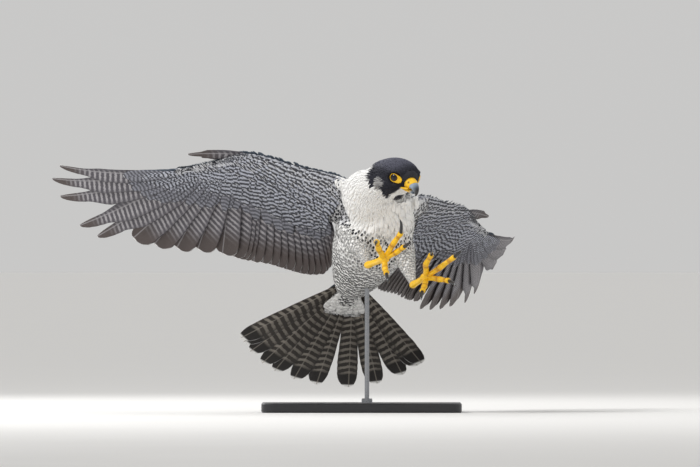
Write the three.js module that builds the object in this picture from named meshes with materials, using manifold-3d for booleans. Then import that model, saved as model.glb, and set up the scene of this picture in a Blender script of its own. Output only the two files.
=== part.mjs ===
// Adult peregrine falcon with raised wings and open feet: a life-size display model on a plain stand.
// Millimetres, +Z up. The origin is the centre of the stand's underside, and the bird faces -Y.
import * as THREE from 'three';
import { mergeVertices } from 'three/addons/utils/BufferGeometryUtils.js';
import Module from 'manifold-3d';

const wasm = await Module();
wasm.setup();

// Driving dimensions of the body. Angles are in degrees
const GAP = 0.35;
const BODY = { neck: [46.8, -65, 266.5], heading: 21.4, pitch: 38.9, bank: 8 };
const HEAD = { centre: [63.2, -104, 303.7], heading: 41, pitch: -13, bank: 2, scale: 0.95 };
const EYE = { forward: 11.6, side: 15.8, up: 3.4, radius: 7.6, lid: 1.2, opening: 6.6, turned: 0.35 };
const BASE = { width: 260, depth: 200, height: 12, corner: 16, bevel: 1.5, centre: [15, 45] };
const ROD = { radius: 3, foot: [22, -2], reach: 190, collar: 7, collarHeight: 6, chamfer: 1 };

// Torso stations from tail to neck: distance from the neck base, half-width, height above, depth below
const TORSO = [
  [-174, 17, 14, 15], [-157, 26, 21, 26], [-130, 36, 30, 37], [-96, 46, 38, 47],
  [-61, 51, 40, 50], [-30, 49, 37, 46], [-6, 40, 31, 37], [12, 24, 20, 23],
];
// Head stations from nape to brow: forward, half-width, top, bottom
const SKULL = [
  [-47, 12.5, 3, -15], [-36.5, 24, 15.5, -22], [-18, 29.8, 24.3, -25], [-3, 31.2, 27.8, -24.8],
  [10, 27.2, 26.2, -21.8], [19.5, 19.2, 18.2, -17.4], [25.5, 11, 10, -12.5],
];
// Neck stations: the frame each is set in, its place there, half-width, height above, depth below.
// The neck is drawn in and fuller on the right, where it turns away from the raised wing
const NECK = [
  ['body', [-14, 7, 3], 44, 33, 34], ['body', [4, 12, 7], 47, 33, 33], ['body', [18, 15, 11], 46.5, 27.5, 30],
  ['head', [-14, -3, -6], 28, 19, 21],
];
// Brow and line of the mouth on the right side: place in the head, then half-width, height above, depth below
const BROW = [
  [[-2, 19, 10.4], 2.5, 2, 3], [[7, 20.5, 11], 3.4, 2.4, 3.6], [[15, 17.5, 9.4], 3, 2, 3],
  [[21, 11.5, 5.6], 1.8, 1.2, 1.8],
];
const GAPE = [
  [[22, 13, -9], 2, 0.5, 0.5], [[16, 19.5, -8.8], 2, 0.45, 0.45], [[11, 22.6, -9.4], 1.6, 0.3, 0.3],
];
const NOSTRIL = { place: [28, 7.5, 0.2], radius: 1.3 };
// Bill stations from the face to the tip: forward, up, half-width, half-height
const UPPER_BILL = [
  [20, -1.4, 8.6, 7], [26, -1.6, 8, 6.7], [31.6, -3.2, 6.2, 5.8], [35.8, -6.6, 4.4, 4.6],
  [38, -11, 2.6, 3], [37.7, -15.4, 0.8, 0.9],
];
const LOWER_BILL = [
  [20, -10.6, 6.6, 2.8], [25.5, -11, 5.8, 2.4], [30, -11.8, 4.2, 1.9], [33.6, -12.5, 2, 1.1],
];

// The wing plane: out along the arm, back along the body, and up. The left arm is drawn further back
const WING = {
  right: { side: 1, shoulder: [8, -48.5, 263.6], dihedral: 30.5, drawnIn: 0, drawnBack: 0 },
  left: { side: -1, shoulder: [69, -30.5, 253], dihedral: 38.3, drawnIn: 4, drawnBack: 76 },
};
const WRIST = [167, 30];
const HAND_DIRECTION = [0.665, 0.746];
const HAND_BEND = { rise: 42, at: 280 };
// Arm and hand sections: leading edge, trailing edge, thickness
const ARM = [
  [[4, -40], [4, 34], 17], [[30, -40], [30, 46], 16], [[60, -30], [60, 50], 13], [[90, -18], [90, 50], 12],
  [[120, -9], [118, 50], 10], [[145, 0], [140, 51], 9], [[168, 15.5], [156, 56], 8],
  [[184, 40], [170, 64], 7], [[212, 72], [200, 84], 5.5], [[240, 102], [231, 110], 4],
];
// Primaries from the wrist outwards: root distance along the hand, tip, outer and inner web
const PRIMARIES = [
  [8, [136, 198], 11, 18], [16, [168, 213], 11, 20], [24, [194, 231], 11, 20], [32, [223, 247], 11, 21],
  [40, [252, 260], 10.5, 22], [50, [298, 302], 9.5, 22], [62, [326, 308], 8.5, 22], [74, [367, 290], 7.5, 20],
  [86, [387, 274], 6.5, 18], [96, [384, 239], 5.5, 15],
];
const BROAD_PRIMARIES = 6;
// Secondary tips from the wrist inwards, then the tertials as root and tip
const SECONDARY_TIPS = [
  [111, 190], [94, 183], [77, 174], [61, 169], [45, 164], [31, 159], [19, 152], [9, 143],
];
const SECONDARY_ROOTS = { first: [157, 30], last: [73, 34] };
const SECONDARY_WEBS = { outer: 9, inner: 14 };
const TERTIALS = [[[60, 36], [6, 131]], [[47, 34], [8, 116]]];
const TERTIAL_WEBS = { outer: 9, inner: 12 };
const WEB_TILT = 0.158;
const EDGE_THICKNESS = 0.5;
const SHAFT_THICKNESS = 0.9;
const FLIGHT_LIFT = { inner: 1.2, step: -0.33 };
// Vane outlines as stations along the shaft and the share of the full width there
const BROAD = [[0, 0.4], [0.5, 1], [0.9, 0.92], [1, 0.35]];
const POINTED = [[0, 0.45], [0.32, 1], [0.68, 0.92], [0.88, 0.52], [1, 0.12]];
const FAN = [[0.06, 0.3], [0.4, 0.72], [0.76, 1], [0.93, 0.85], [1, 0.35]];
const SHORT = [[0, 0.6], [0.62, 1], [1, 0.35]];
// Covert tiers along the arm: count, first and last root, first and last tip, heights there, half-width
const ARM_COVERTS = [
  { count: 6, root: [[144, 24], [54, 28]], tip: [[116, 94], [34, 92]], height: [2.4, 4.8], half: 11.5 },
  { count: 6, root: [[144, 24], [54, 28]], tip: [[114, 116], [32, 112]], height: [-2.2, -4.8], half: 12 },
  { count: 5, root: [[142, 10], [54, 8]], tip: [[128, 72], [42, 70]], height: [-4, -7.8], half: 13.5 },
];
// Covert tiers along the hand: share of their primary's length, height, half-width
const HAND_COVERTS = [
  { share: 0.36, height: [3.4, 5], half: 10 },
  { share: 0.42, height: [-3, -6], half: 11 },
];
const HAND_COVERT_STEP = 2;
const AXILLARIES = {
  count: 4, root: [[48, 10], [20, 4]], tip: [[42, 134], [10, 112]], height: [-5.5, -10.5], half: 10,
};
const ALULA = [
  { root: [160, 12], tip: [231, 68], outer: 6, inner: 9, height: [1, 3] },
  { root: [164, 14], tip: [214, 62], outer: 6, inner: 8, height: [2.4, 5] },
  { root: [168, 18], tip: [200, 56], outer: 5, inner: 7, height: [3.6, 6.6] },
];
const ALULA_TILT = 0.05;

// The tail: its own frame at the rump, and the fan angle of each feather from image left to right
const TAIL = {
  base: [-1.3, 65, 161.2], along: [-0.213, 0.69, -0.69], lateral: [0.977, 0.151, -0.151],
  pivot: -16, outerLength: 170.5, middleLength: 199.6, spread: 42,
  angles: [-41.1, -38.5, -32.5, -24.5, -18.3, -9.9, -1.2, 10.6, 21.5, 32.3, 40, 42.2],
  outerWeb: 11, innerWeb: 16, layer: 1.15, rootStep: 1.2,
  coverts: [
    { count: 5, spread: 30, from: 4, reach: 92, height: [-8, -10.5], half: 12 },
    { count: 4, spread: 24, from: 4, reach: 80, height: [5, 3.2], half: 12 },
  ],
};
// Rump stations down the tail: distance, half-width, height above, depth below
const RUMP = [[-14, 13, 9, 10], [2, 19, 12, 15], [24, 25, 9, 13], [48, 29, 4, 7]];

// Legs: shank stations with their radius, the palm, then each toe as middle joint, end and claw tip
const LEGS = {
  right: {
    shank: [
      [-2, -16, 224, 15], [1, -44, 238, 20], [8.5, -64, 222, 16.5], [17, -80, 206, 9.5],
      [23.5, -92, 191.5, 5],
    ],
    palm: [44, -138, 199],
    toes: [
      [[45, -142, 187], [47, -152, 180], [50, -164, 168]],
      [[60, -150, 208], [70, -164, 215], [78, -176, 221]],
      [[56, -154, 219], [66, -166, 233], [64, -176, 251]],
      [[37, -154, 212], [34, -170, 222], [33, -186, 216]],
    ],
  },
  left: {
    shank: [[60, 0, 214, 15], [61, -28, 226, 20], [69, -48, 206, 16], [76, -65, 184, 9.5], [82, -78, 166, 5]],
    palm: [98, -124, 175.5],
    toes: [
      [[96, -131, 164], [93, -140, 157], [92, -153, 146]],
      [[98, -138, 192], [105, -148, 205], [107, -163, 208]],
      [[116, -138, 188], [135, -148, 202], [144, -158, 210]],
      [[115, -136, 173], [128, -148, 171], [137, -161, 164]],
    ],
  },
};
// Tarsus stations from ankle to palm: share of the way, width and height as shares of the radius
const TARSUS = {
  radius: 4, stations: [[-0.05, 1.15, 1.15], [0.3, 0.9, 0.9], [0.7, 1, 1], [0.98, 1.6, 1.3], [1.08, 1.2, 1]],
};
// Toe stations on the way to the middle joint and on to the end: share of the way, share of the radius
const TOE = { radius: 3.1, root: [[0.15, 1.1], [0.6, 1], [1, 1.12]], tip: [[0.6, 0.92], [1, 0.8]] };
// A claw's radii from root to point, how far its root is sunk and how far it is bowed
const CLAW = { radii: [2.3, 2.1, 1.7, 1, 0.35], sunk: 1, bow: 2.5 };

const vec = (list) => new THREE.Vector3(...list);
const turn = (degrees) => THREE.MathUtils.degToRad(degrees);

// A frame of a body part: forward along it, right and up as the bird has them
function birdFrame(origin, heading, pitch, bank) {
  const [h, p, b] = [heading, pitch, bank].map(turn);
  const forward = new THREE.Vector3(Math.sin(h) * Math.cos(p), -Math.cos(h) * Math.cos(p), Math.sin(p));
  const level = new THREE.Vector3(-Math.cos(h), -Math.sin(h), 0);
  const crown = level.clone().cross(forward);
  const right = level.multiplyScalar(Math.cos(b)).addScaledVector(crown, Math.sin(b));
  return { origin: vec(origin), forward, right, up: right.clone().cross(forward) };
}

function pointIn(frame, forward, right, up) {
  return frame.origin.clone()
    .addScaledVector(frame.forward, forward)
    .addScaledVector(frame.right, right)
    .addScaledVector(frame.up, up);
}

const bodyFrame = birdFrame(BODY.neck, BODY.heading, BODY.pitch, BODY.bank);
const headFrame = birdFrame(HEAD.centre, HEAD.heading, HEAD.pitch, HEAD.bank);
const frames = { body: bodyFrame, head: headFrame };

// Closed meshes
function closedMesh(points, faces) {
  const geometry = new THREE.BufferGeometry();
  geometry.setAttribute('position', new THREE.Float32BufferAttribute(points.flatMap((p) => p.toArray()), 3));
  geometry.setIndex(faces);
  return geometry;
}

// Rings of points joined one to the next, with a fan over each end
function loft(rings) {
  const sides = rings[0].length;
  const points = rings.flat();
  const faces = [];
  for (let ring = 0; ring + 1 < rings.length; ring++) {
    for (let side = 0; side < sides; side++) {
      const a = ring * sides + side;
      const b = ring * sides + (side + 1) % sides;
      faces.push(a, b, b + sides, a, b + sides, a + sides);
    }
  }
  const middle = (ring) => ring.reduce((sum, p) => sum.add(p), new THREE.Vector3()).divideScalar(sides);
  const start = points.push(middle(rings[0])) - 1;
  const end = points.push(middle(rings.at(-1))) - 1;
  const last = (rings.length - 1) * sides;
  for (let side = 0; side < sides; side++) {
    const next = (side + 1) % sides;
    faces.push(start, next, side, end, last + side, last + next);
  }
  return closedMesh(points, faces);
}

// Two grids of points, one above the other, with the same triangles on both faces and a closed rim
function sheet(upper, lower) {
  const rows = upper.length;
  const columns = upper[0].length;
  const count = rows * columns;
  const at = (row, column) => row * columns + column;
  const faces = [];
  for (let row = 0; row + 1 < rows; row++) {
    for (let column = 0; column + 1 < columns; column++) {
      const [a, b] = [at(row, column), at(row, column + 1)];
      const [d, e] = [at(row + 1, column), at(row + 1, column + 1)];
      faces.push(a, b, e, a, e, d);
      faces.push(a + count, e + count, b + count, a + count, d + count, e + count);
    }
  }
  const rim = [];
  for (let column = 0; column + 1 < columns; column++) rim.push(at(0, column));
  for (let row = 0; row + 1 < rows; row++) rim.push(at(row, columns - 1));
  for (let column = columns - 1; column > 0; column--) rim.push(at(rows - 1, column));
  for (let row = rows - 1; row > 0; row--) rim.push(at(row, 0));
  rim.forEach((u, i) => {
    const v = rim[(i + 1) % rim.length];
    faces.push(v, u, u + count, v, u + count, v + count);
  });
  return closedMesh([...upper.flat(), ...lower.flat()], faces);
}

// Solids for joining and cutting
function signedVolume(position, index) {
  const [a, b, c] = [new THREE.Vector3(), new THREE.Vector3(), new THREE.Vector3()];
  let sum = 0;
  for (let i = 0; i < index.count; i += 3) {
    a.fromBufferAttribute(position, index.getX(i));
    b.fromBufferAttribute(position, index.getX(i + 1));
    c.fromBufferAttribute(position, index.getX(i + 2));
    sum += a.dot(b.cross(c)) / 6;
  }
  return sum;
}

function solid(geometry) {
  const bare = geometry.clone();
  bare.deleteAttribute('normal');
  bare.deleteAttribute('uv');
  const merged = mergeVertices(bare, 1e-3);
  const triVerts = new Uint32Array(merged.index.array);
  if (signedVolume(merged.attributes.position, merged.index) < 0) triVerts.reverse();
  const vertProperties = new Float32Array(merged.attributes.position.array);
  return new wasm.Manifold(new wasm.Mesh({ numProp: 3, vertProperties, triVerts }));
}

const join = (solids) => solids.reduce((sum, next) => sum.add(next));
const cut = (solids, from) => solids.reduce((rest, next) => rest.subtract(next), from);

function largest(whole) {
  return whole.decompose().reduce((best, next) => (next.volume() > best.volume() ? next : best));
}

// A round limb through a few stations [point, half-width, height above, depth below], smoothed between them
function limb(stations, lateral, { sides = 12, steps = 2, grow = 0 } = {}) {
  const rows = stations.map(([at, half, above, below]) => [...at.toArray(), half, above, below]);
  const smooth = new THREE.CubicInterpolant(rows.map((_, i) => i), rows.flat(), 6);
  const last = rows.length - 1;
  const centre = (t) => vec(smooth.evaluate(THREE.MathUtils.clamp(t, 0, last)).slice(0, 3));
  const rings = [];
  for (let k = 0; k <= last * steps; k++) {
    const t = k / steps;
    const along = centre(t + 0.05).sub(centre(t - 0.05)).normalize();
    const side = lateral.clone().addScaledVector(along, -lateral.dot(along)).normalize();
    const up = side.clone().cross(along);
    const middle = centre(t);
    if (k === 0) middle.addScaledVector(along, -grow);
    if (k === last * steps) middle.addScaledVector(along, grow);
    const [half, above, below] = smooth.evaluate(t).slice(3);
    rings.push(Array.from({ length: sides }, (_, i) => {
      const angle = 2 * Math.PI * i / sides;
      const height = Math.sin(angle) > 0 ? above : below;
      return middle.clone()
        .addScaledVector(side, (half + grow) * Math.cos(angle))
        .addScaledVector(up, (height + grow) * Math.sin(angle));
    }));
  }
  return solid(loft(rings));
}

function ball(centre, radius, across = 14) {
  const geometry = new THREE.SphereGeometry(radius, across, Math.round(across * 0.6));
  geometry.translate(...centre.toArray());
  return solid(geometry);
}

// Body, neck and head
function torso(grow = 0) {
  const stations = TORSO.map(([forward, ...size]) => [pointIn(bodyFrame, forward, 0, 0), ...size]);
  return limb(stations, bodyFrame.right, { sides: 18, grow });
}

function skull(grow = 0) {
  const s = HEAD.scale;
  const stations = SKULL.map(([forward, half, top, bottom]) => {
    const height = s * (top - bottom) / 2;
    return [pointIn(headFrame, forward * s, 0, s * (top + bottom) / 2), half * s, height, height];
  });
  return limb(stations, headFrame.right, { sides: 18, grow });
}

function eyeCentre(side) {
  return pointIn(headFrame, EYE.forward, side * EYE.side, EYE.up);
}

function eyelidRing(side) {
  const ring = new THREE.TorusGeometry(EYE.opening, EYE.lid, 5, 14);
  const outward = headFrame.right.clone().multiplyScalar(side).addScaledVector(headFrame.forward, EYE.turned)
    .normalize();
  ring.applyQuaternion(new THREE.Quaternion().setFromUnitVectors(new THREE.Vector3(0, 0, 1), outward));
  const reach = Math.sqrt((EYE.radius + GAP) ** 2 - EYE.opening ** 2);
  ring.translate(...eyeCentre(side).addScaledVector(outward, reach).toArray());
  return solid(ring);
}

// A ridge or a groove along one side of the head
function lineOnHead(stations, side, sides) {
  const rows = stations.map(([[forward, out, up], ...size]) => [
    pointIn(headFrame, forward, side * out, up), ...size,
  ]);
  return limb(rows, headFrame.right, { sides, steps: 1 });
}

function bill(stations, grow = 0) {
  const rows = stations.map(([forward, up, half, height]) => [
    pointIn(headFrame, forward, 0, up), half, height, height,
  ]);
  return limb(rows, headFrame.right, { sides: 12, grow });
}

function upperBill() {
  const [forward, out, up] = NOSTRIL.place;
  const nostrils = [1, -1].map((side) => pointIn(headFrame, forward, side * out, up));
  return cut([skull(GAP), ...nostrils.map((at) => ball(at, NOSTRIL.radius, 10))], bill(UPPER_BILL));
}

function lowerBill() {
  return cut([skull(GAP), bill(UPPER_BILL, GAP)], bill(LOWER_BILL));
}

function head() {
  const sides = [1, -1];
  const brows = sides.map((side) => lineOnHead(BROW, side, 8));
  const sockets = sides.map((side) => ball(eyeCentre(side), EYE.radius + GAP));
  const mouth = sides.map((side) => lineOnHead(GAPE, side, 6));
  return cut([...sockets, ...mouth], join([skull(), ...sides.map(eyelidRing), ...brows]));
}

function neck(grow = 0) {
  const stations = NECK.map(([frame, place, ...size]) => [pointIn(frames[frame], ...place), ...size]);
  return limb(stations, bodyFrame.right, { sides: 16, grow });
}

// The wing plane, with the hand bent up towards its tip
function wingPlace(name) {
  const wing = WING[name];
  const lift = turn(wing.dihedral);
  const right = bodyFrame.right.clone().multiplyScalar(wing.side);
  const out = right.clone().multiplyScalar(Math.cos(lift)).addScaledVector(bodyFrame.up, Math.sin(lift));
  const up = bodyFrame.up.clone().multiplyScalar(Math.cos(lift)).addScaledVector(right, -Math.sin(lift));
  return (p, q, height) => {
    const arm = Math.min(p, WRIST[0]) / WRIST[0];
    const reach = Math.max(0, (p - WRIST[0]) * 0.95 + (q - WRIST[1]) * 0.3);
    const bend = HAND_BEND.rise * (reach / HAND_BEND.at) ** 3;
    return vec(wing.shoulder)
      .addScaledVector(out, p - wing.drawnIn * arm)
      .addScaledVector(bodyFrame.forward, -q - wing.drawnBack * arm)
      .addScaledVector(up, height + bend);
  };
}

function wingCore(place) {
  const sides = 8;
  return solid(loft(ARM.map(([lead, trail, thick]) => Array.from({ length: sides }, (_, i) => {
    const angle = 2 * Math.PI * i / sides;
    const back = (1 - Math.cos(angle)) / 2;
    const height = thick * Math.sin(angle) * (0.68 - 0.36 * back);
    return place(lead[0] + (trail[0] - lead[0]) * back, lead[1] + (trail[1] - lead[1]) * back, height);
  }))));
}

// A feather vane in the plane of its wing or tail. The tilt raises the outer web, so that each vane
// passes over the inner web of the next
function vane(place, { root, tip, outer, inner, height: [low, high], tilt = WEB_TILT, outline = BROAD }) {
  const along = new THREE.Vector2(tip[0] - root[0], tip[1] - root[1]);
  const across = new THREE.Vector2(along.y, -along.x).normalize();
  const face = (sign) => outline.map(([t, width]) => [-inner, 0, outer].map((edge) => {
    const off = edge * width;
    const thick = edge === 0 ? SHAFT_THICKNESS + (EDGE_THICKNESS - SHAFT_THICKNESS) * t : EDGE_THICKNESS;
    const height = low + (high - low) * t + tilt * off + sign * thick / 2;
    return place(root[0] + along.x * t + across.x * off, root[1] + along.y * t + across.y * off, height);
  }));
  return solid(sheet(face(1), face(-1)));
}

const between = ([a, b], t) => a.map((value, i) => value + (b[i] - value) * t);

function handPoint(distance) {
  return [WRIST[0] + HAND_DIRECTION[0] * distance, WRIST[1] + HAND_DIRECTION[1] * distance];
}

function primaries(place) {
  return PRIMARIES.map(([distance, tip, outer, inner], i) => {
    const height = FLIGHT_LIFT.inner + FLIGHT_LIFT.step * i;
    const outline = i < BROAD_PRIMARIES ? BROAD : POINTED;
    return vane(place, { root: handPoint(distance), tip, outer, inner, height: [height, height], outline });
  });
}

function secondaries(place) {
  const height = [FLIGHT_LIFT.inner, FLIGHT_LIFT.inner];
  const { first, last } = SECONDARY_ROOTS;
  const inner = TERTIALS.map(([root, tip]) => vane(place, { root, tip, height, ...TERTIAL_WEBS }));
  return SECONDARY_TIPS.map((tip, i) => {
    const root = between([first, last], i / (SECONDARY_TIPS.length - 1));
    return vane(place, { root, tip, height, ...SECONDARY_WEBS });
  }).concat(inner);
}

// A row of like vanes between a first and a last one
function vaneRow(place, { count, root, tip, height, half }) {
  return Array.from({ length: count }, (_, i) => {
    const t = i / (count - 1);
    const shape = { root: between(root, t), tip: between(tip, t), outer: half, inner: half, height };
    return vane(place, { ...shape, outline: SHORT });
  });
}

function handCoverts(place) {
  const carriers = PRIMARIES.map(([distance, tip], i) => ({ root: handPoint(distance), tip, i }))
    .filter(({ i }) => i % HAND_COVERT_STEP === 0);
  return HAND_COVERTS.flatMap(({ share, height, half }) => carriers.map(({ root, tip, i }) => {
    const drop = FLIGHT_LIFT.step * i;
    const shape = { root, tip: between([root, tip], share), height: height.map((h) => h + drop) };
    return vane(place, { ...shape, outer: half * 0.8, inner: half, outline: SHORT });
  }));
}

function alula(place) {
  return ALULA.map((feather) => vane(place, { ...feather, tilt: ALULA_TILT, outline: POINTED }));
}

function wing(name) {
  const place = wingPlace(name);
  const feathers = [
    ...primaries(place), ...secondaries(place), ...handCoverts(place), ...alula(place),
    ...[...ARM_COVERTS, AXILLARIES].flatMap((row) => vaneRow(place, row)),
  ];
  return largest(cut([torso(GAP), neck(GAP)], join([wingCore(place), ...feathers])));
}

// The tail as one smooth fan from the rump to the feather tips
function tailPlace() {
  const [along, lateral] = [vec(TAIL.along).normalize(), vec(TAIL.lateral).normalize()];
  const up = lateral.clone().cross(along);
  return (across, back, height) => vec(TAIL.base)
    .addScaledVector(lateral, across).addScaledVector(along, back).addScaledVector(up, height);
}

function rump(place) {
  return limb(RUMP.map(([back, ...size]) => [place(0, back, 0), ...size]), vec(TAIL.lateral), { sides: 16 });
}

function rectrixLength(angle) {
  return TAIL.outerLength + (TAIL.middleLength - TAIL.outerLength) * (1 - (angle / TAIL.spread) ** 2);
}

// The middle feathers lie uppermost, and each one further out lies a layer lower
function rectrices(place) {
  const middle = TAIL.angles.length / 2;
  return TAIL.angles.map((angle, i) => {
    const layers = i < middle ? middle - i : i - middle;
    const aside = (i + 0.5 - middle) * TAIL.rootStep;
    const length = rectrixLength(angle);
    const tip = [aside + length * Math.sin(turn(angle)), TAIL.pivot + length * Math.cos(turn(angle))];
    const [outer, inner] = i < middle ? [TAIL.innerWeb, TAIL.outerWeb] : [TAIL.outerWeb, TAIL.innerWeb];
    const height = -TAIL.layer * layers;
    return vane(place, {
      root: [aside, TAIL.pivot], tip, outer, inner, height: [height, height], tilt: 0, outline: FAN,
    });
  });
}

function tailCoverts(place) {
  return TAIL.coverts.flatMap(({ count, spread, from, reach, height, half }) => (
    Array.from({ length: count }, (_, i) => {
      const angle = turn(spread * (2 * i / (count - 1) - 1));
      const at = (distance) => [distance * Math.sin(angle), TAIL.pivot + distance * Math.cos(angle)];
      const layer = height.map((h) => h + Math.sign(h) * (i % 2) * TAIL.layer);
      const shape = { root: at(from - TAIL.pivot), tip: at(reach), outer: half, inner: half, height: layer };
      return vane(place, { ...shape, tilt: 0, outline: SHORT });
    })
  ));
}

function tail() {
  const place = tailPlace();
  return largest(cut([torso(GAP)], join([rump(place), ...rectrices(place), ...tailCoverts(place)])));
}

// Legs and feet
function shank(leg, grow = 0) {
  const stations = leg.shank.map(([x, y, z, radius]) => [new THREE.Vector3(x, y, z), radius, radius, radius]);
  return limb(stations, bodyFrame.right, { sides: 14, grow });
}

function tarsus(leg, grow = 0) {
  const ankle = vec(leg.shank.at(-1));
  const palm = vec(leg.palm);
  const stations = TARSUS.stations.map(([share, wide, high]) => {
    const height = TARSUS.radius * high;
    return [ankle.clone().lerp(palm, share), TARSUS.radius * wide, height, height];
  });
  return limb(stations, bodyFrame.right, { sides: 10, grow });
}

function toe(leg, toeIndex, grow = 0) {
  const [middle, end] = leg.toes[toeIndex].map(vec);
  const station = (from, to) => ([share, size]) => {
    const radius = TOE.radius * size;
    return [from.clone().lerp(to, share), radius, radius, radius];
  };
  const stations = [...TOE.root.map(station(vec(leg.palm), middle)), ...TOE.tip.map(station(middle, end))];
  return limb(stations, bodyFrame.right, { sides: 8, steps: 1, grow });
}

function claw(leg, toeIndex) {
  const [middle, end, tip] = leg.toes[toeIndex].map(vec);
  const along = end.clone().sub(middle).normalize();
  const bow = end.clone().lerp(tip, 0.5).addScaledVector(along, CLAW.bow);
  const middles = [
    end.clone().addScaledVector(along, -CLAW.sunk), end.clone().lerp(bow, 0.55), bow.clone().lerp(tip, 0.1),
    bow.clone().lerp(tip, 0.6), tip,
  ];
  const stations = middles.map((at, i) => [at, CLAW.radii[i], CLAW.radii[i], CLAW.radii[i]]);
  return limb(stations, bodyFrame.right, { sides: 6, steps: 1 });
}

// The stand
function standBase() {
  const { width, depth, corner, bevel, height } = BASE;
  const [w, d] = [width / 2 - bevel, depth / 2 - bevel];
  const outline = new THREE.Shape();
  outline.moveTo(-w + corner, -d);
  outline.lineTo(w - corner, -d);
  outline.absarc(w - corner, -d + corner, corner, -Math.PI / 2, 0);
  outline.lineTo(w, d - corner);
  outline.absarc(w - corner, d - corner, corner, 0, Math.PI / 2);
  outline.lineTo(-w + corner, d);
  outline.absarc(-w + corner, d - corner, corner, Math.PI / 2, Math.PI);
  outline.lineTo(-w, -d + corner);
  outline.absarc(-w + corner, -d + corner, corner, Math.PI, Math.PI * 1.5);
  const options = {
    depth: height - 2 * bevel, bevelThickness: bevel, bevelSize: bevel, bevelSegments: 1, curveSegments: 5,
  };
  const geometry = new THREE.ExtrudeGeometry(outline, options);
  geometry.translate(...BASE.centre, bevel);
  return solid(geometry);
}

function standRod() {
  const [x, y] = ROD.foot;
  const collarTop = BASE.height + ROD.collarHeight;
  const profile = [
    [0, BASE.height + GAP], [ROD.collar, BASE.height + GAP], [ROD.collar, collarTop - ROD.chamfer],
    [ROD.collar - ROD.chamfer, collarTop], [ROD.radius, collarTop], [ROD.radius, ROD.reach], [0, ROD.reach],
  ];
  const geometry = new THREE.LatheGeometry(profile.map(([r, z]) => new THREE.Vector2(r, z)), 20);
  geometry.rotateX(Math.PI / 2);
  geometry.translate(x, y, 0);
  return largest(cut([torso(GAP)], solid(geometry)));
}

// The model
const FINISH = {
  plumage: { color: 0x8d9197, roughness: 0.85, metalness: 0 },
  hood: { color: 0x24262c, roughness: 0.8, metalness: 0 },
  breast: { color: 0xe6e2da, roughness: 0.9, metalness: 0 },
  skin: { color: 0xe8a51c, roughness: 0.55, metalness: 0 },
  horn: { color: 0x2b2c31, roughness: 0.35, metalness: 0 },
  eye: { color: 0x160d08, roughness: 0.08, metalness: 0 },
  steel: { color: 0xb9bcc0, roughness: 0.3, metalness: 1 },
  baseCoat: { color: 0x1c1d1f, roughness: 0.45, metalness: 0.2 },
};

const model = new THREE.Group();
model.position.set(-BASE.centre[0], -BASE.centre[1], 0);

function add(name, piece, finish) {
  const { numProp, vertProperties, triVerts } = piece.getMesh();
  const geometry = new THREE.BufferGeometry();
  const buffer = new THREE.InterleavedBuffer(vertProperties, numProp);
  geometry.setAttribute('position', new THREE.InterleavedBufferAttribute(buffer, 3, 0));
  geometry.setIndex(new THREE.BufferAttribute(triVerts, 1));
  const mesh = new THREE.Mesh(geometry, new THREE.MeshStandardMaterial(FINISH[finish]));
  mesh.name = name;
  model.add(mesh);
}

add('stand_base', standBase(), 'baseCoat');
add('stand_rod', standRod(), 'steel');
add('torso', torso(), 'breast');
add('neck', largest(cut([torso(GAP), skull(GAP)], neck())), 'breast');
add('head', largest(head()), 'hood');
add('bill_upper', largest(upperBill()), 'skin');
add('bill_lower', largest(lowerBill()), 'horn');
add('tail', tail(), 'plumage');
for (const [name, leg] of Object.entries(LEGS)) {
  add(`eye_${name}`, ball(eyeCentre(WING[name].side), EYE.radius), 'eye');
  add(`wing_${name}`, wing(name), 'plumage');
  add(`thigh_${name}`, largest(cut([torso(GAP)], shank(leg))), 'breast');
  add(`tarsus_${name}`, largest(cut([shank(leg, GAP)], tarsus(leg))), 'skin');
  leg.toes.forEach((_, i) => {
    const before = leg.toes.slice(0, i).map((_, j) => toe(leg, j, GAP));
    add(`toe_${name}_${i + 1}`, largest(cut([tarsus(leg, GAP), ...before], toe(leg, i))), 'skin');
    add(`claw_${name}_${i + 1}`, largest(cut([toe(leg, i, GAP)], claw(leg, i))), 'horn');
  });
}

export default model;
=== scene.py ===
"""An adult peregrine falcon with raised wings and open feet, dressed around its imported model.

Shapes are worked out in millimetres in the bird's own frame and turned into metres as each mesh is made.
"""

import math

import bpy
import numpy as np
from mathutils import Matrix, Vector
from mathutils.bvhtree import BVHTree


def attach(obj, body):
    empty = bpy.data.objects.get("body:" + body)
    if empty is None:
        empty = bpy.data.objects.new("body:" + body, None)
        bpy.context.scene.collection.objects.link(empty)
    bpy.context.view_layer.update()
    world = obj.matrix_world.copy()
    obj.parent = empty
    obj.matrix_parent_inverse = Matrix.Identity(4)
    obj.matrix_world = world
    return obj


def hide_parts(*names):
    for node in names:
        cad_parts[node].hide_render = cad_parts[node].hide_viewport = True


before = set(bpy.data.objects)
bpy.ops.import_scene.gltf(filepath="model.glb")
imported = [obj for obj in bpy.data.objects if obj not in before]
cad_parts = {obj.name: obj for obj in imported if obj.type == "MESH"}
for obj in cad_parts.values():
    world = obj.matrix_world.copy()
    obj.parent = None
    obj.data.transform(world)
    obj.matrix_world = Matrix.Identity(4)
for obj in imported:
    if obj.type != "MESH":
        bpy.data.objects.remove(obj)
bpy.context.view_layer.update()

bl_info = {
    "name": "Peregrine Falcon",
    "version": (1, 0, 0),
    "blender": (4, 5, 0),
    "location": "View3D > Sidebar > Falcon",
    "description": "Builds the plumage, head, feet, stand and studio of a life-size falcon",
    "category": "Add Mesh",
}

MM = 0.001
# The middle of the stand in the bird's own frame, where the model's origin is
STAND_CENTRE = np.array([15.0, 45.0, 0.0])

# Body, head and eye, in millimetres and degrees
BODY = {"origin": [46.8, -65, 266.5], "heading": 21.4, "pitch": 38.9, "bank": 8}
HEAD = {"origin": [63.2, -104, 303.7], "heading": 41, "pitch": -13, "bank": 2}
HEAD_SCALE = 0.95
EYE = {"forward": 11.6, "side": 15.8, "up": 3.4, "radius": 7.6}
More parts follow.
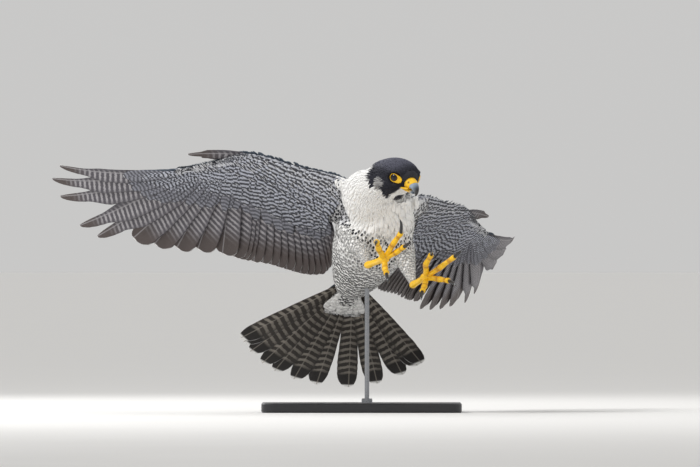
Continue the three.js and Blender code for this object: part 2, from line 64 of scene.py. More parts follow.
# Torso stations from the tail to the neck: distance from the neck base, half-width, height above, depth below
TORSO = [
    [-174, 17, 14, 15], [-157, 26, 21, 26], [-130, 36, 30, 37], [-96, 46, 38, 47],
    [-61, 51, 40, 50], [-30, 49, 37, 46], [-6, 40, 31, 37], [12, 24, 20, 23],
]
# Head stations from the nape to the brow: forward, half-width, top, bottom
SKULL = [
    [-47, 12.5, 3, -15], [-36.5, 24, 15.5, -22], [-18, 29.8, 24.3, -25], [-3, 31.2, 27.8, -24.8],
    [10, 27.2, 26.2, -21.8], [19.5, 19.2, 18.2, -17.4], [25.5, 11, 10, -12.5],
]
# Neck stations: the frame each is set in, place there, half-width, height above, depth below
NECK = [
    ["body", [-14, 7, 3], [44, 33, 34]], ["body", [4, 12, 7], [47, 33, 33]],
    ["body", [18, 15, 11], [46.5, 27.5, 30]], ["head", [-14, -3, -6], [28, 19, 21]],
]
# Bill stations from the face to the tip: forward, up, half-width, half-height
UPPER_BILL = [
    [17, -1, 8.8, 7.4], [21.5, -1.3, 8.5, 7.1], [26, -1.6, 8, 6.7], [31.6, -3.2, 6.2, 5.8],
    [35.8, -6.6, 4.4, 4.6], [38, -11, 2.6, 3], [37.7, -15.4, 0.7, 0.8],
]
LOWER_BILL = [[19, -10.5, 6.6, 2.8], [25.5, -11, 5.8, 2.4], [30, -11.8, 4.2, 1.9], [33.6, -12.5, 2, 1.1]]

# Where no feather is rooted: forward of the cere's edge, and near the axis of an eye
BARE_FACE = {"cere": 22.5, "eye": 6.6}
SOCKET = {"radius": 7.0, "depth": 1.5}
# How much nearer to an eye the opening between its lids ends above it, and how much further in front
EYE_OPENING = {"above": 1.7, "front": 1.5}
# The brow's ridge over an eye: forward, side, up, half-width, height above, depth below
BROW = [
    [-2, 20, 10.8, 3, 2.4, 3], [7, 21.5, 11, 4, 2.6, 3], [15, 17.8, 9.6, 4, 2.4, 2.6],
    [22, 12, 5.6, 2.4, 1.6, 2],
]

# The wing plane: out along the arm, back along the body, and up
WINGS = {
    "right": {"side": 1, "shoulder": [8, -48.5, 263.6], "dihedral": 30.5, "drawn_in": 0, "drawn_back": 0},
    "left": {"side": -1, "shoulder": [69, -30.5, 253], "dihedral": 38.3, "drawn_in": 4, "drawn_back": 76},
}
WRIST = (167, 30)
HAND_DIRECTION = (0.665, 0.746)
HAND_RISE = 42
HAND_REACH = 280
# Arm and hand sections: leading edge, trailing edge, thickness
ARM = [
    [4, -40, 4, 34, 17], [30, -40, 30, 46, 16], [60, -30, 60, 50, 13], [90, -18, 90, 50, 12],
    [120, -9, 118, 50, 10], [145, 0, 140, 51, 9], [168, 15.5, 156, 56, 8], [184, 40, 170, 64, 7],
    [212, 72, 200, 84, 5.5], [240, 102, 231, 110, 4],
]
# Primaries from the wrist outwards: root distance along the hand, tip, outer and inner web
PRIMARIES = [
    [8, (136, 198), 11.5, 20], [16, (168, 213), 11.5, 21], [24, (194, 231), 11.5, 22],
    [32, (223, 247), 11.5, 22], [40, (252, 260), 11, 23], [50, (298, 302), 9.5, 23],
    [62, (326, 308), 8.5, 22], [74, (367, 290), 7.5, 21], [86, (387, 274), 6.5, 19],
    [96, (384, 239), 5.5, 15],
]
# Secondary tips from the wrist inwards, which the secondaries share out evenly between them
SECONDARY_TIPS = [
    (120, 193), (111, 190), (94, 183), (77, 174), (61, 169), (45, 164), (31, 159), (19, 152), (9, 143),
]
SECONDARY_ROOTS = [(160, 30), (73, 34)]
SECONDARY_COUNT = 13
TERTIALS = [[(64, 36), (6, 135)], [(54, 35), (5, 127)], [(45, 34), (6, 119)], [(36, 33), (9, 108)]]
PRIMARY_TILT = 0.11
SECONDARY_TILT = 0.08
ALULA = [
    {"root": (160, 12), "tip": (231, 68), "outer": 6, "inner": 9, "lift": (1, 3)},
    {"root": (164, 14), "tip": (214, 62), "outer": 6, "inner": 8, "lift": (2.4, 5)},
    {"root": (168, 18), "tip": (200, 56), "outer": 5, "inner": 7, "lift": (3.6, 6.6)},
]

# The tail's frame at the rump, and the fan angle of each feather
TAIL = {"base": [-1.3, 65, 161.2], "along": [-0.213, 0.69, -0.69], "lateral": [0.977, 0.151, -0.151]}
TAIL_PIVOT = -16
TAIL_LENGTHS = {"outer": 170.5, "middle": 199.6, "spread": 42}
TAIL_ANGLES = [-41.1, -38.5, -32.5, -24.5, -18.3, -9.9, -1.2, 10.6, 21.5, 32.3, 40, 42.2]
TAIL_WEBS = {"outer": 11, "inner": 16}
TAIL_LAYER = 1.15
TAIL_COVERTS = {
    "undertail_coverts": {
        "from": (2, 9, 16, 23, 29), "reach": 24, "spread": 27, "count": 15, "half": 4.6,
        "height": (-9, -9.5)},
    "uppertail_coverts": {
        "from": (14, 34, 54), "reach": 44, "spread": 30, "count": 13, "half": 6.5, "height": (8, 4.2)},
}
RUMP = [[-14, 13, 9, 10], [2, 19, 12, 15], [24, 25, 9, 13], [48, 29, 4, 7]]

# Legs: shank stations with radius, palm, then each toe as middle joint, end and claw tip
LEGS = {
    "right": {
        "shank": [
            [-2, -16, 224, 15], [1, -44, 238, 20], [8.5, -64, 222, 16.5], [17, -80, 206, 9.5],
            [23.5, -92, 191.5, 5],
        ],
        "palm": [44, -138, 199],
        "toes": [
            [[45, -142, 187], [47, -152, 180], [50, -164, 168]],
            [[60, -150, 208], [70, -164, 215], [78, -176, 221]],
            [[56, -154, 219], [66, -166, 233], [64, -176, 251]],
            [[37, -154, 212], [34, -170, 222], [33, -186, 216]],
        ],
    },
    "left": {
        "shank": [
            [60, 0, 214, 15], [61, -28, 226, 20], [69, -48, 206, 16], [76, -65, 184, 9.5], [82, -78, 166, 5],
        ],
        "palm": [98, -124, 175.5],
        "toes": [
            [[96, -131, 164], [93, -140, 157], [92, -153, 146]],
            [[98, -138, 192], [105, -148, 205], [107, -163, 208]],
            [[116, -138, 188], [135, -148, 202], [144, -158, 210]],
            [[115, -136, 173], [128, -148, 171], [137, -161, 164]],
        ],
    },
}
TOE_RADIUS = 3.1
TARSUS_RADIUS = 4

# The photograph's frame: its centre and width at the bird, in millimetres, and how far off it was taken
VIEW = {"centre": [0, 0, 232], "width": 910, "distance": 25000, "sensor": 36}

# The studio's glow, which matches the floor at the horizon, then its lights: name, place, size and power
SKY = {"colour": (1, 0.995, 0.985), "horizon": 0.58, "zenith": 0.8}
LIGHTS = [
    ("key_light", (-1.9, -1.2, 2.3), 0.8, 50), ("rim_light", (-0.8, 1.8, 1.6), 1.2, 18),
]


def rgb(code):
    """Linear colour of a hex code."""
    parts = [int(code[i:i + 2], 16) / 255 for i in (0, 2, 4)]
    return tuple(c / 12.92 if c <= 0.04045 else ((c + 0.055) / 1.055) ** 2.4 for c in parts)


def colour(name, code, description):
    return bpy.props.FloatVectorProperty(
        name=name, description=description, default=rgb(code), size=3, subtype="COLOR", min=0, max=1)


def length(name, default, description):
    """A length in metres from millimetres."""
    return bpy.props.FloatProperty(
        name=name, description=description, default=default * MM, min=0, unit="LENGTH", precision=4)


class FalconSizes(bpy.types.PropertyGroup):
    coat_depth: length("Coat depth", 2.6, "How far the skin lies inside the outline of the plumage")
    head_coat_depth: length("Head coat depth", 1.3, "The same on the head, where the feathers are short")
    skin_voxel: length("Skin detail", 1.8, "Size of the faces of the skin")
    breast_feather: length("Breast feather", 14.5, "Length of a feather of the breast")
    head_feather: length("Head feather", 6, "Length of a feather of the crown")
    thigh_feather: length("Thigh feather", 14, "Length of a feather of the thigh")
    bar_spacing: length("Bar spacing", 5.4, "Distance between the bars of the body")
    covert_bar_spacing: length("Covert bar spacing", 6.6, "Distance between the bars of the wing coverts")
    seed: bpy.props.IntProperty(name="Seed", description="Start of the random draws", default=7, min=0)


class FalconColours(bpy.types.PropertyGroup):
    white: colour("White", "f7f6f4", "Breast, neck and thighs")
    hood: colour("Hood", "1f2027", "Nape, cheek and moustache")
    # Partly the crown's own slate, partly a painted sheen on the top of the head
    crown: colour("Crown", "5b5c69", "Top of the head")
    ear: colour("Ear patch", "c4c2c0", "Streaked patch behind the eye")
    slate: colour("Slate", "5b6571", "Back and upper side of the wings")
    slate_bar: colour("Slate bar", "343a44", "Bars of the upper side")
    bar: colour("Bar", "1f1f25", "Bars and spots of the underparts")
    lining: colour("Lining", "aeb1bc", "Underwing coverts between the bars")
    quill: colour("Quill", "4e4b51", "Flight feathers from below")
    quill_tip: colour("Quill tip", "4b4240", "Worn, browner ends of the flight feathers")
    quill_bar: colour("Quill bar", "a5a2a5", "Pale bars of the flight feathers")
    tail: colour("Tail", "37322e", "Tail feathers")
    tail_end: colour("Tail end", "1d1917", "Dark band before the white tips of the tail")
    tail_bar: colour("Tail bar", "9b948a", "Pale bars of the tail")
    skin: colour("Bare skin", "fac512", "Cere, eye-ring and feet")
    horn: colour("Horn", "8797a8", "Bill")
    claw: colour("Claw", "17171a", "Claws and tip of the bill")
    iris: colour("Iris", "2a140a", "Eye")
    floor: colour("Floor", "e7e6e4", "Studio floor")


def settings():
    return bpy.context.scene.falcon_sizes, bpy.context.scene.falcon_colours


def millimetres(value):
    return value / MM


# Axes, smooth lines and limbs
class Axes:
    """A body part's origin and its own forward, right and up."""

    def __init__(self, origin, heading, pitch, bank):
        h, p, b = np.radians([heading, pitch, bank])
        self.origin = np.array(origin, float)
        self.forward = np.array([math.sin(h) * math.cos(p), -math.cos(h) * math.cos(p), math.sin(p)])
        level = np.array([-math.cos(h), -math.sin(h), 0.0])
        self.right = level * math.cos(b) + np.cross(level, self.forward) * math.sin(b)
        self.up = np.cross(self.right, self.forward)

    def point(self, forward, right, up):
        place = [np.asarray(v, float)[..., None] for v in (forward, right, up)]
        return self.origin + self.forward * place[0] + self.right * place[1] + self.up * place[2]

    def local(self, points):
        away = np.asarray(points) - self.origin
        return away @ self.forward, away @ self.right, away @ self.up


BODY_AXES = Axes(**BODY)
HEAD_AXES = Axes(**HEAD)
AXES = {"body": BODY_AXES, "head": HEAD_AXES}


def unit(vectors):
    vectors = np.asarray(vectors, float)
    return vectors / np.maximum(np.linalg.norm(vectors, axis=-1, keepdims=True), 1e-9)


def dot(a, b):
    return (a * b).sum(-1, keepdims=True)


def smooth(rows, t):
    """Values at t among evenly spaced rows, on a curve through them."""
    rows = np.asarray(rows, float)
    last = len(rows) - 1
    t = np.clip(np.asarray(t, float), 0, last)
    i = np.minimum(t.astype(int), last - 1)
    p = (t - i)[..., None]
    before = np.where(i > 0, i - 1, i + 1)
    after = np.where(i + 2 <= last, i + 2, i)
    wb = np.where(i > 0, 0.5, -0.5)[..., None]
    wa = np.where(i + 2 <= last, 0.5, -0.5)[..., None]
    pp, ppp = p * p, p * p * p
    return (
        rows[before] * (-wb * ppp + 2 * wb * pp - wb * p)
        + rows[i] * ((1 + wb) * ppp + (-1.5 - 2 * wb) * pp + (wb - 0.5) * p + 1)
        + rows[i + 1] * ((-1 - wa) * ppp + (1.5 + wa) * pp + 0.5 * p)
        + rows[after] * (wa * ppp - wa * pp)
    )


class Limb:
    """A round limb through stations of [point, half-width, height above, depth below]."""

    def __init__(self, stations, lateral):
        self.rows = np.array([[*point, *size] for point, size in stations], float)
        self.last = len(stations) - 1
        self.lateral = np.asarray(lateral, float)

    def centre(self, t):
        return smooth(self.rows[:, :3], t)

    def frame(self, t):
        along = unit(self.centre(np.add(t, 0.05)) - self.centre(np.subtract(t, 0.05)))
        side = unit(self.lateral - along * dot(along, self.lateral))
        return side, along, np.cross(side, along)

    def surface(self, t, angle, grow=0.0):
        side, _, up = self.frame(t)
        size = smooth(self.rows[:, 3:], t)
        angle = np.asarray(angle, float)[..., None]
        grow = np.asarray(grow, float)[..., None]
        height = np.where(np.sin(angle) > 0, size[..., 1:2], size[..., 2:3])
        return (
            self.centre(t) + side * (size[..., :1] + grow) * np.cos(angle)
            + up * (height + grow) * np.sin(angle)
        )

    def grid(self, steps, sides, grow=0.0):
        """Rings of points from the first station to the last."""
        t = np.linspace(0, self.last, self.last * steps + 1)
        angle = np.arange(sides) * 2 * math.pi / sides
        rings = self.surface(t[:, None] + angle * 0, angle + t[:, None] * 0, grow)
        _, along, _ = self.frame(t[[0, -1]])
        rings[0] -= along[0] * grow
        rings[-1] += along[1] * grow
        return rings


def torso_limb():
    stations = [(BODY_AXES.point(f, 0, 0), size) for f, *size in TORSO]
    return Limb(stations, BODY_AXES.right)


def skull_limb():
    s = HEAD_SCALE
    stations = []
    for f, half, top, bottom in SKULL:
        tall = s * (top - bottom) / 2
        stations.append((HEAD_AXES.point(f * s, 0, s * (top + bottom) / 2), [half * s, tall, tall]))
    return Limb(stations, HEAD_AXES.right)


def neck_limb():
    return Limb([(AXES[name].point(*place), size) for name, place, size in NECK], BODY_AXES.right)


def thigh_limb(leg):
    return Limb([(point, [radius] * 3) for *point, radius in leg["shank"]], BODY_AXES.right)


# The wing plane, with the hand bent up towards its tip
class WingPlane:
    """Places points of one wing by how far they lie out along the arm, back along the body, and up."""

    def __init__(self, name):
        wing = WINGS[name]
        lift = math.radians(wing["dihedral"])
        right = BODY_AXES.right * wing["side"]
        self.name = name
        self.side = wing["side"]
        self.shoulder = np.array(wing["shoulder"], float)
        self.drawn_in, self.drawn_back = wing["drawn_in"], wing["drawn_back"]
        self.out = right * math.cos(lift) + BODY_AXES.up * math.sin(lift)
        self.up = BODY_AXES.up * math.cos(lift) - right * math.sin(lift)
        self.back = -BODY_AXES.forward

    def place(self, p, q, height):
        p, q, height = np.broadcast_arrays(*[np.asarray(v, float) for v in (p, q, height)])
        arm = np.minimum(p, WRIST[0]) / WRIST[0]
        reach = np.maximum(0, (p - WRIST[0]) * 0.95 + (q - WRIST[1]) * 0.3)
        bend = HAND_RISE * (reach / HAND_REACH) ** 3
        return (
            self.shoulder
            + self.out * (p - self.drawn_in * arm)[..., None]
            + self.back * (q + self.drawn_back * arm)[..., None]
            + self.up * (height + bend)[..., None]
        )


def tail_axes():
    along, lateral = unit(TAIL["along"]), unit(TAIL["lateral"])
    return along, lateral, np.cross(lateral, along)


def tail_place(across, back, height):
    along, lateral, up = tail_axes()
    across, back, height = np.broadcast_arrays(*[np.asarray(v, float) for v in (across, back, height)])
    return (
        np.array(TAIL["base"], float) + lateral * across[..., None] + along * back[..., None]
        + up * height[..., None]
    )


def rump_limb():
    return Limb([(tail_place(0, back, 0), size) for back, *size in RUMP], tail_axes()[1])


# Meshes
def make_object(name, points, loops, totals):
    """An object from points in millimetres, the faces' corners in a row and each face's number of them."""
    mesh = bpy.data.meshes.new(name)
    mesh.vertices.add(len(points))
    mesh.vertices.foreach_set("co", ((points - STAND_CENTRE) * MM).astype(np.float32).ravel())
    mesh.loops.add(len(loops))
    mesh.loops.foreach_set("vertex_index", np.asarray(loops, np.int32))
    mesh.polygons.add(len(totals))
    starts = np.concatenate([[0], np.cumsum(totals)[:-1]])
    mesh.polygons.foreach_set("loop_start", starts.astype(np.int32))
    mesh.polygons.foreach_set("loop_total", np.asarray(totals, np.int32))
    mesh.polygons.foreach_set("use_smooth", np.ones(len(totals), bool))
    mesh.update(calc_edges=True)
    mesh.validate()
    piece = bpy.data.objects.new(name, mesh)
    bpy.context.scene.collection.objects.link(piece)
    return piece


def ring_faces(rings, sides):
    """Corners of the faces of a closed tube of rings: its quads, then its two ends."""
    index = np.arange(rings * sides).reshape(rings, sides)
    following = np.roll(index, -1, axis=1)
    quads = np.stack([index[:-1], following[:-1], following[1:], index[1:]], axis=-1).reshape(-1, 4)
    return quads, index[0][::-1], index[-1]


def tubes(name, grids):
    """One object from grids of rings, each a closed tube."""
    points, loops, totals, start = [], [], [], 0
    for grid in grids:
        rings, sides = grid.shape[:2]
        quads, first, last = ring_faces(rings, sides)
        points.append(grid.reshape(-1, 3))
        loops += [quads.ravel() + start, first + start, last + start]
        totals += [4] * len(quads) + [sides, sides]
        start += rings * sides
    return make_object(name, np.concatenate(points), np.concatenate(loops), totals)


def facing_out(piece):
    """Turns the faces of a piece outwards."""
    mesh = piece.data
    points = np.empty(len(mesh.vertices) * 3, np.float32)
    mesh.vertices.foreach_get("co", points)
    points = points.reshape(-1, 3)
    mesh.calc_loop_triangles()
    corners = np.empty(len(mesh.loop_triangles) * 3, np.int32)
    mesh.loop_triangles.foreach_get("vertices", corners)
    a, b, c = points[corners.reshape(-1, 3)].transpose(1, 0, 2)
    if (a * np.cross(b, c)).sum() < 0:
        mesh.flip_normals()
    return piece


def mesh_points(mesh):
    """A mesh's points in millimetres in the bird's own frame."""
    points = np.empty(len(mesh.vertices) * 3, np.float32)
    mesh.vertices.foreach_get("co", points)
    return points.reshape(-1, 3).astype(float) / MM + STAND_CENTRE


def write_attribute(mesh, name, values):
    """Writes one colour or vector for each point."""
    kind, field = ("FLOAT_COLOR", "color") if values.shape[-1] == 4 else ("FLOAT_VECTOR", "vector")
    attribute = mesh.attributes.new(name, kind, "POINT")
    attribute.data.foreach_set(field, values.astype(np.float32).ravel())


def apply_modifiers(piece):
    """Keeps the mesh that the piece's modifiers make."""
    bpy.context.view_layer.update()
    shaped = bpy.data.meshes.new_from_object(piece.evaluated_get(bpy.context.evaluated_depsgraph_get()))
    piece.modifiers.clear()
    piece.data = shaped
    piece.data.name = piece.name
    return piece


def finish_piece(piece, material, replaces=()):
    """Gives a piece its material and slot, and lets it ride on the model."""
    piece.data.materials.clear()
    piece.data.materials.append(material)
    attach(piece, "root")
    if replaces:
        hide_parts(*replaces)
    return piece


# Where each part of the skin lies, which way its feathers lie, and how they are marked
class Region:
    """A stretch of the body: points along its middle, the lie of its feathers there, and its radius."""

    def __init__(self, name, points, lie, radius):
        self.name = name
        self.points = np.asarray(points, float)
        self.lie = unit(lie)
        self.radius = np.asarray(radius, float)

    def nearest(self, points):
        away = points[:, None] - self.points[None]
        gap = np.linalg.norm(away, axis=2) / self.radius
        index = gap.argmin(1)
        return index, gap[np.arange(len(points)), index]


def limb_region(name, limb, count, backwards=False):
    t = np.linspace(0, limb.last, count)
    _, along, _ = limb.frame(t)
    size = smooth(limb.rows[:, 3:], t)
    return Region(name, limb.centre(t), -along if backwards else along, size.mean(1))


def arm_region(plane):
    rows = np.array(ARM, float)
    t = np.linspace(0, len(rows) - 1, 30)
    lead_p, lead_q, trail_p, trail_q, _ = smooth(rows, t).T
    middle = plane.place((lead_p + trail_p) / 2, (lead_q + trail_q) / 2, 0)
    lie = plane.back - plane.out * 0.25
    return Region("arm_" + plane.name, middle, np.repeat(lie[None], len(t), 0), np.full(len(t), 26.0))


def regions():
    found = [
        limb_region("head", skull_limb(), 20, backwards=True),
        limb_region("neck", neck_limb(), 20, backwards=True),
        limb_region("torso", torso_limb(), 40, backwards=True),
        limb_region("rump", rump_limb(), 14),
    ]
    for name, leg in LEGS.items():
        found.append(limb_region("thigh_" + name, thigh_limb(leg), 20))
        found.append(arm_region(WingPlane(name)))
    return found


def lie_of_plumage(points, found):
    """The lie of the feathers at each point, and the number of the region that it belongs to."""
    gaps, lies = [], []
    for region in found:
        index, gap = region.nearest(points)
        gaps.append(gap)
        lies.append(region.lie[index])
    gaps = np.array(gaps)
    weights = np.exp(-7 * (gaps - gaps.min(0)))
    lie = unit((weights[..., None] * np.array(lies)).sum(0))
    # On the face the feathers spread from the bill
    face = unit(points - HEAD_AXES.point(30, 0, -4))
    spread = (weights[0] / weights.sum(0))[:, None] * 0.6
    return unit(lie * (1 - spread) + face * spread), gaps.argmin(0)


def ramp(value, start, end):
    """0 before start, 1 after end, and smooth between."""
    t = np.clip((value - start) / (end - start), 0, 1)
    return t * t * (3 - 2 * t)


def waver(points, size, seed=0.0):
    """A slow, even wobble between -1 and 1 over space."""
    x, y, z = (points / size).T
    return (
        np.sin(x * 1.7 + y * 2.3 + seed) + np.sin(y * 1.9 - z * 2.1 + seed * 2) + np.sin(z * 2.6 + x * 1.3)
    ) / 3


def hood_marks(points):
    """How far a point belongs to the dark hood, to the streaked ear patch, and to the paler top of the head,
    whose tint is partly the crown's own slate and partly a painted sheen.
    """
    forward, right, up = HEAD_AXES.local(points)
    forward = forward + waver(points, 3.0) * 0.9
    up = up + waver(points, 2.6, 2.0) * 0.8
    across = np.abs(right)
    low_forward, low_up = zip(*HOOD_EDGE)
    crown = ramp(up - np.interp(forward, low_forward, low_up), -1.2, 1.2)
    nape = ramp(-forward, 25, 31)
    crown = crown * (1 - nape * ramp(across, 17, 23))
    rear = np.interp(up, *zip(*MALAR_REAR))
    front = np.interp(up, *zip(*MALAR_FRONT))
    malar = ramp(forward - rear, -1, 1) * (1 - ramp(forward - front, -1, 1)) * ramp(up, -32, -29)
    chin = 2 + 6 * ramp(forward, -5, 6)
    malar = malar * ramp(across - chin, 0, 3)
    hood = np.maximum(crown, malar)
    ear = ramp(forward, -14, -12) * (1 - ramp(forward - rear, -1, 1)) * ramp(up, -18, -15) * (1 - hood)
    return hood, ear, ramp(up, 5, 19) * ramp(-forward, -26, -10)


# Edges of the dark hood in the head's own forward and up: its lower edge, then both sides of the moustache
HOOD_EDGE = [
    (-48, 14), (-34, 9), (-28, 4), (-23, -4), (-18.5, -10), (-16.4, -16), (-14, -15), (-12.6, -7), (-9, -2.5),
    (1, -3), (4, -9), (21, -9), (26, -7),
]
MALAR_REAR = [(-31, -5), (-26, -7), (-20, -7.5), (-15, -5.6), (-9, 1), (0, 2)]
MALAR_FRONT = [(-33, -4), (-28, -1), (-20.7, 7), (-12.2, 16.4), (-8, 30)]


def coat_marks(points, names, colours):
    """Base colour and marks at each point. The marks are shares of bars, spots, pale edge, and dark shade."""
    count = len(points)
    white, slate, hood = [np.array(c) for c in (colours.white, colours.slate, colours.hood)]
    lining = np.array(colours.lining)
    base = np.repeat(white[None], count, 0)
    marks = np.zeros((count, 4))
    body_forward, body_right, body_up = BODY_AXES.local(points)
    above = body_up / np.maximum(np.hypot(body_up, body_right), 1)
    back = ramp(above + waver(points, 12) * 0.06, 0.42, 0.6)
    is_torso = np.isin(names, ["torso", "rump", "neck"])
    shade = (back * is_torso)[:, None]
    base = base * (1 - shade) + slate * shade
    flank = ramp(-body_forward, 45, 85) * (names == "torso")
    marks[:, 0] = flank * 0.9 + (names == "rump") * 0.35
    spots = ramp(-body_forward, -6, 16) * (1 - flank) * (names == "torso")
    marks[:, 1] = spots
    thigh = np.char.startswith(names, "thigh")
    marks[thigh, 0] = 0.55
    arm = np.char.startswith(names, "arm")
    base[arm] = lining
    marks[arm, 0] = 0.9
    marks[:, 3] = shade[:, 0]
    head = np.isin(names, ["head", "neck"])
    share, ear, top = [(value * head)[:, None] for value in hood_marks(points)]
    # On the top of the head the hood takes the crown tint, partly the crown's own slate and partly a painted
    # sheen; a little of it lies over the whole hood
    top = top * 0.85 + 0.12
    hood = hood * (1 - top) + np.array(colours.crown) * top
    base = base * (1 - share) + hood * share
    below = ramp(-HEAD_AXES.local(points)[2], -1, 7)[:, None]
    streak = ear * (0.55 + 0.45 * waver(points, 0.9)[:, None]) * below
    base = base * (1 - ear) + hood * ear
    base = base * (1 - streak) + np.array(colours.ear) * streak
    marks *= 1 - np.maximum(share, ear)
    return base, marks


# The skin
def wing_core(plane, grow):
    """The flesh of an arm and hand as rings of points."""
    rows = np.array(ARM, float)
    t = np.linspace(0, len(rows) - 1, 60)
    lead_p, lead_q, trail_p, trail_q, thick = [column[:, None] for column in smooth(rows, t).T]
    angle = np.arange(28) * 2 * math.pi / 28
    back = (1 - np.cos(angle)) / 2
    height = (thick + grow) * np.sin(angle) * (0.68 - 0.36 * back)
    return plane.place(lead_p + (trail_p - lead_p) * back, lead_q + (trail_q - lead_q) * back, height)


def build_skin(sizes):
    """One closed skin over the trunk, neck, head, thighs, arms and rump."""
    depth = -millimetres(sizes.coat_depth)
    grids = [
        torso_limb().grid(8, 48, depth),
        neck_limb().grid(8, 40, depth),
        skull_limb().grid(8, 40, -millimetres(sizes.head_coat_depth)),
        rump_limb().grid(8, 32, depth),
    ]
    for name, leg in LEGS.items():
        grids.append(thigh_limb(leg).grid(8, 28, depth * 0.6))
        grids.append(wing_core(WingPlane(name), depth))
    for side in (1, -1):
        brow = Limb([(HEAD_AXES.point(f, side * r, u), size) for f, r, u, *size in BROW], HEAD_AXES.right)
        grids.append(brow.grid(5, 16, 0.4))
    piece = facing_out(tubes("skin", grids))
    remesh = piece.modifiers.new("One surface", "REMESH")
    remesh.mode = "VOXEL"
    remesh.voxel_size = sizes.skin_voxel
    remesh.use_smooth_shade = True
    relax = piece.modifiers.new("Soft joins", "SMOOTH")
    relax.factor = 0.5
    relax.iterations = 10
    return press_sockets(apply_modifiers(piece))


def eye_axis(side):
    """An eye's centre and the way it looks."""
    centre = HEAD_AXES.point(EYE["forward"], side * EYE["side"], EYE["up"])
    return centre, unit(HEAD_AXES.right * side + HEAD_AXES.forward * 0.42)


def round_eye(points, side):
    """How far points lie ahead of an eye's centre, and aside of its axis.

    The distance aside counts as more above the eye, where the brow closes over it, and as less in front.
    """
    centre, gaze = eye_axis(side)
    away = points - centre
    ahead = away @ gaze
    beside = away - ahead[:, None] * gaze
    aside = np.linalg.norm(beside, axis=1)
    way = beside / np.maximum(aside, 1e-6)[:, None]
    brow = EYE_OPENING["above"] * np.maximum(0, way @ HEAD_AXES.up)
    front = EYE_OPENING["front"] * np.maximum(0, way @ HEAD_AXES.forward)
    return ahead, aside + brow - front


def press_sockets(skin):
    """Presses the skin back behind the front of each eye and its lids."""
    points = mesh_points(skin.data)
    for side in (1, -1):
        _, gaze = eye_axis(side)
        ahead, aside = round_eye(points, side)
        pressed = (ahead > SOCKET["depth"]) * (1 - ramp(aside, SOCKET["radius"], SOCKET["radius"] + 2.5))
        points -= gaze * (pressed * (ahead - SOCKET["depth"]))[:, None]
    skin.data.vertices.foreach_set("co", ((points - STAND_CENTRE) * MM).astype(np.float32).ravel())
    skin.data.update()
    return skin


def surface_samples(mesh, count, draw):
    """Even random points on a mesh."""
    mesh.calc_loop_triangles()
    corners = np.empty(len(mesh.loop_triangles) * 3, np.int32)
    mesh.loop_triangles.foreach_get("vertices", corners)
    points = mesh_points(mesh)
    a, b, c = points[corners.reshape(-1, 3)].transpose(1, 0, 2)
    area = np.linalg.norm(np.cross(b - a, c - a), axis=1)
    chosen = np.searchsorted(np.cumsum(area) / area.sum(), draw.random(count))
    u, v = draw.random((2, count, 1))
    flip = u + v > 1
    u, v = np.where(flip, 1 - u, u), np.where(flip, 1 - v, v)
    return a[chosen] + (b - a)[chosen] * u + (c - a)[chosen] * v


def crowded(cells, cell, point, square):
    """Whether a point kept in this cell or one beside it lies nearer than the root of square."""
    kx, ky, kz = cell
    for x in (kx - 1, kx, kx + 1):
        for y in (ky - 1, ky, ky + 1):
            for z in (kz - 1, kz, kz + 1):
                for other in cells.get((x, y, z), ()):
                    dx, dy, dz = point[0] - other[0], point[1] - other[1], point[2] - other[2]
                    if dx * dx + dy * dy + dz * dz < square:
                        return True
    return False


def thinned(points, spacing):
    """Numbers of the points kept so that none lies nearer another than its spacing."""
    cells = {}
    kept = []
    cell_size = float(spacing.max())
    keys = np.floor(points / cell_size).astype(int)
    for i, (point, gap) in enumerate(zip(points.tolist(), spacing.tolist())):
        cell = tuple(keys[i].tolist())
        if not crowded(cells, cell, point, gap * gap):
            cells.setdefault(cell, []).append(point)
            kept.append(i)
    return np.array(kept, int)


# Feathers
class Shape:
    """A feather's cross-section as places across it, and its outline as widths along it."""

    def __init__(self, across, camber, thickness, outline, stations, crowd=1.0):
        self.across = np.array(across, float)
        self.camber = camber
        self.thickness = thickness
        self.t = 1 - (1 - np.linspace(0, 1, stations)) ** crowd
        steps, widths = zip(*outline)
        even = np.interp(self.t, steps, widths)
        padded = np.concatenate([even[:1], even, even[-1:]])
        softened = (padded[:-2] + 2 * padded[1:-1] + padded[2:]) / 4
        self.width = np.where(self.t > 0.97, even, softened)


TUFT = Shape([-1, -0.4, 0.4, 1], 0.16, 0.3, [(0, 0.45), (0.35, 0.9), (0.65, 1), (0.85, 0.78), (1, 0.22)], 5)
DOWN = Shape([-1, 0, 1], 0.22, 0.25, [(0, 0.5), (0.4, 1), (0.75, 0.7), (1, 0.12)], 4)
COVERT = Shape(
    [-1, -0.66, -0.3, 0, 0.3, 0.66, 1], 0.1, 0.28,
    [(0, 0.5), (0.4, 0.95), (0.75, 1), (0.9, 0.8), (0.97, 0.5), (1, 0.2)], 9, 1.3)
QUILL_ACROSS = [-1, -0.92, -0.65, -0.35, -0.12, -0.05, 0, 0.05, 0.12, 0.35, 0.65, 0.92, 1]
SECONDARY_SHAPE = Shape(
    QUILL_ACROSS, 0.05, 0.3,
    [(0, 0.4), (0.3, 0.85), (0.7, 1), (0.88, 0.98), (0.94, 0.85), (0.975, 0.62), (0.993, 0.36), (1, 0.12)],
    30, 1.7)
PRIMARY_SHAPE = Shape(
    QUILL_ACROSS, 0.05, 0.34,
    [(0, 0.42), (0.3, 1), (0.62, 0.95), (0.85, 0.72), (0.95, 0.48), (0.985, 0.26), (1, 0.06)], 32, 1.5)
TAIL_SHAPE = Shape(
    QUILL_ACROSS, 0.04, 0.34,
    [(0, 0.25), (0.4, 0.72), (0.76, 1), (0.9, 0.97), (0.95, 0.84), (0.98, 0.6), (0.994, 0.35), (1, 0.12)],
    32, 1.7)


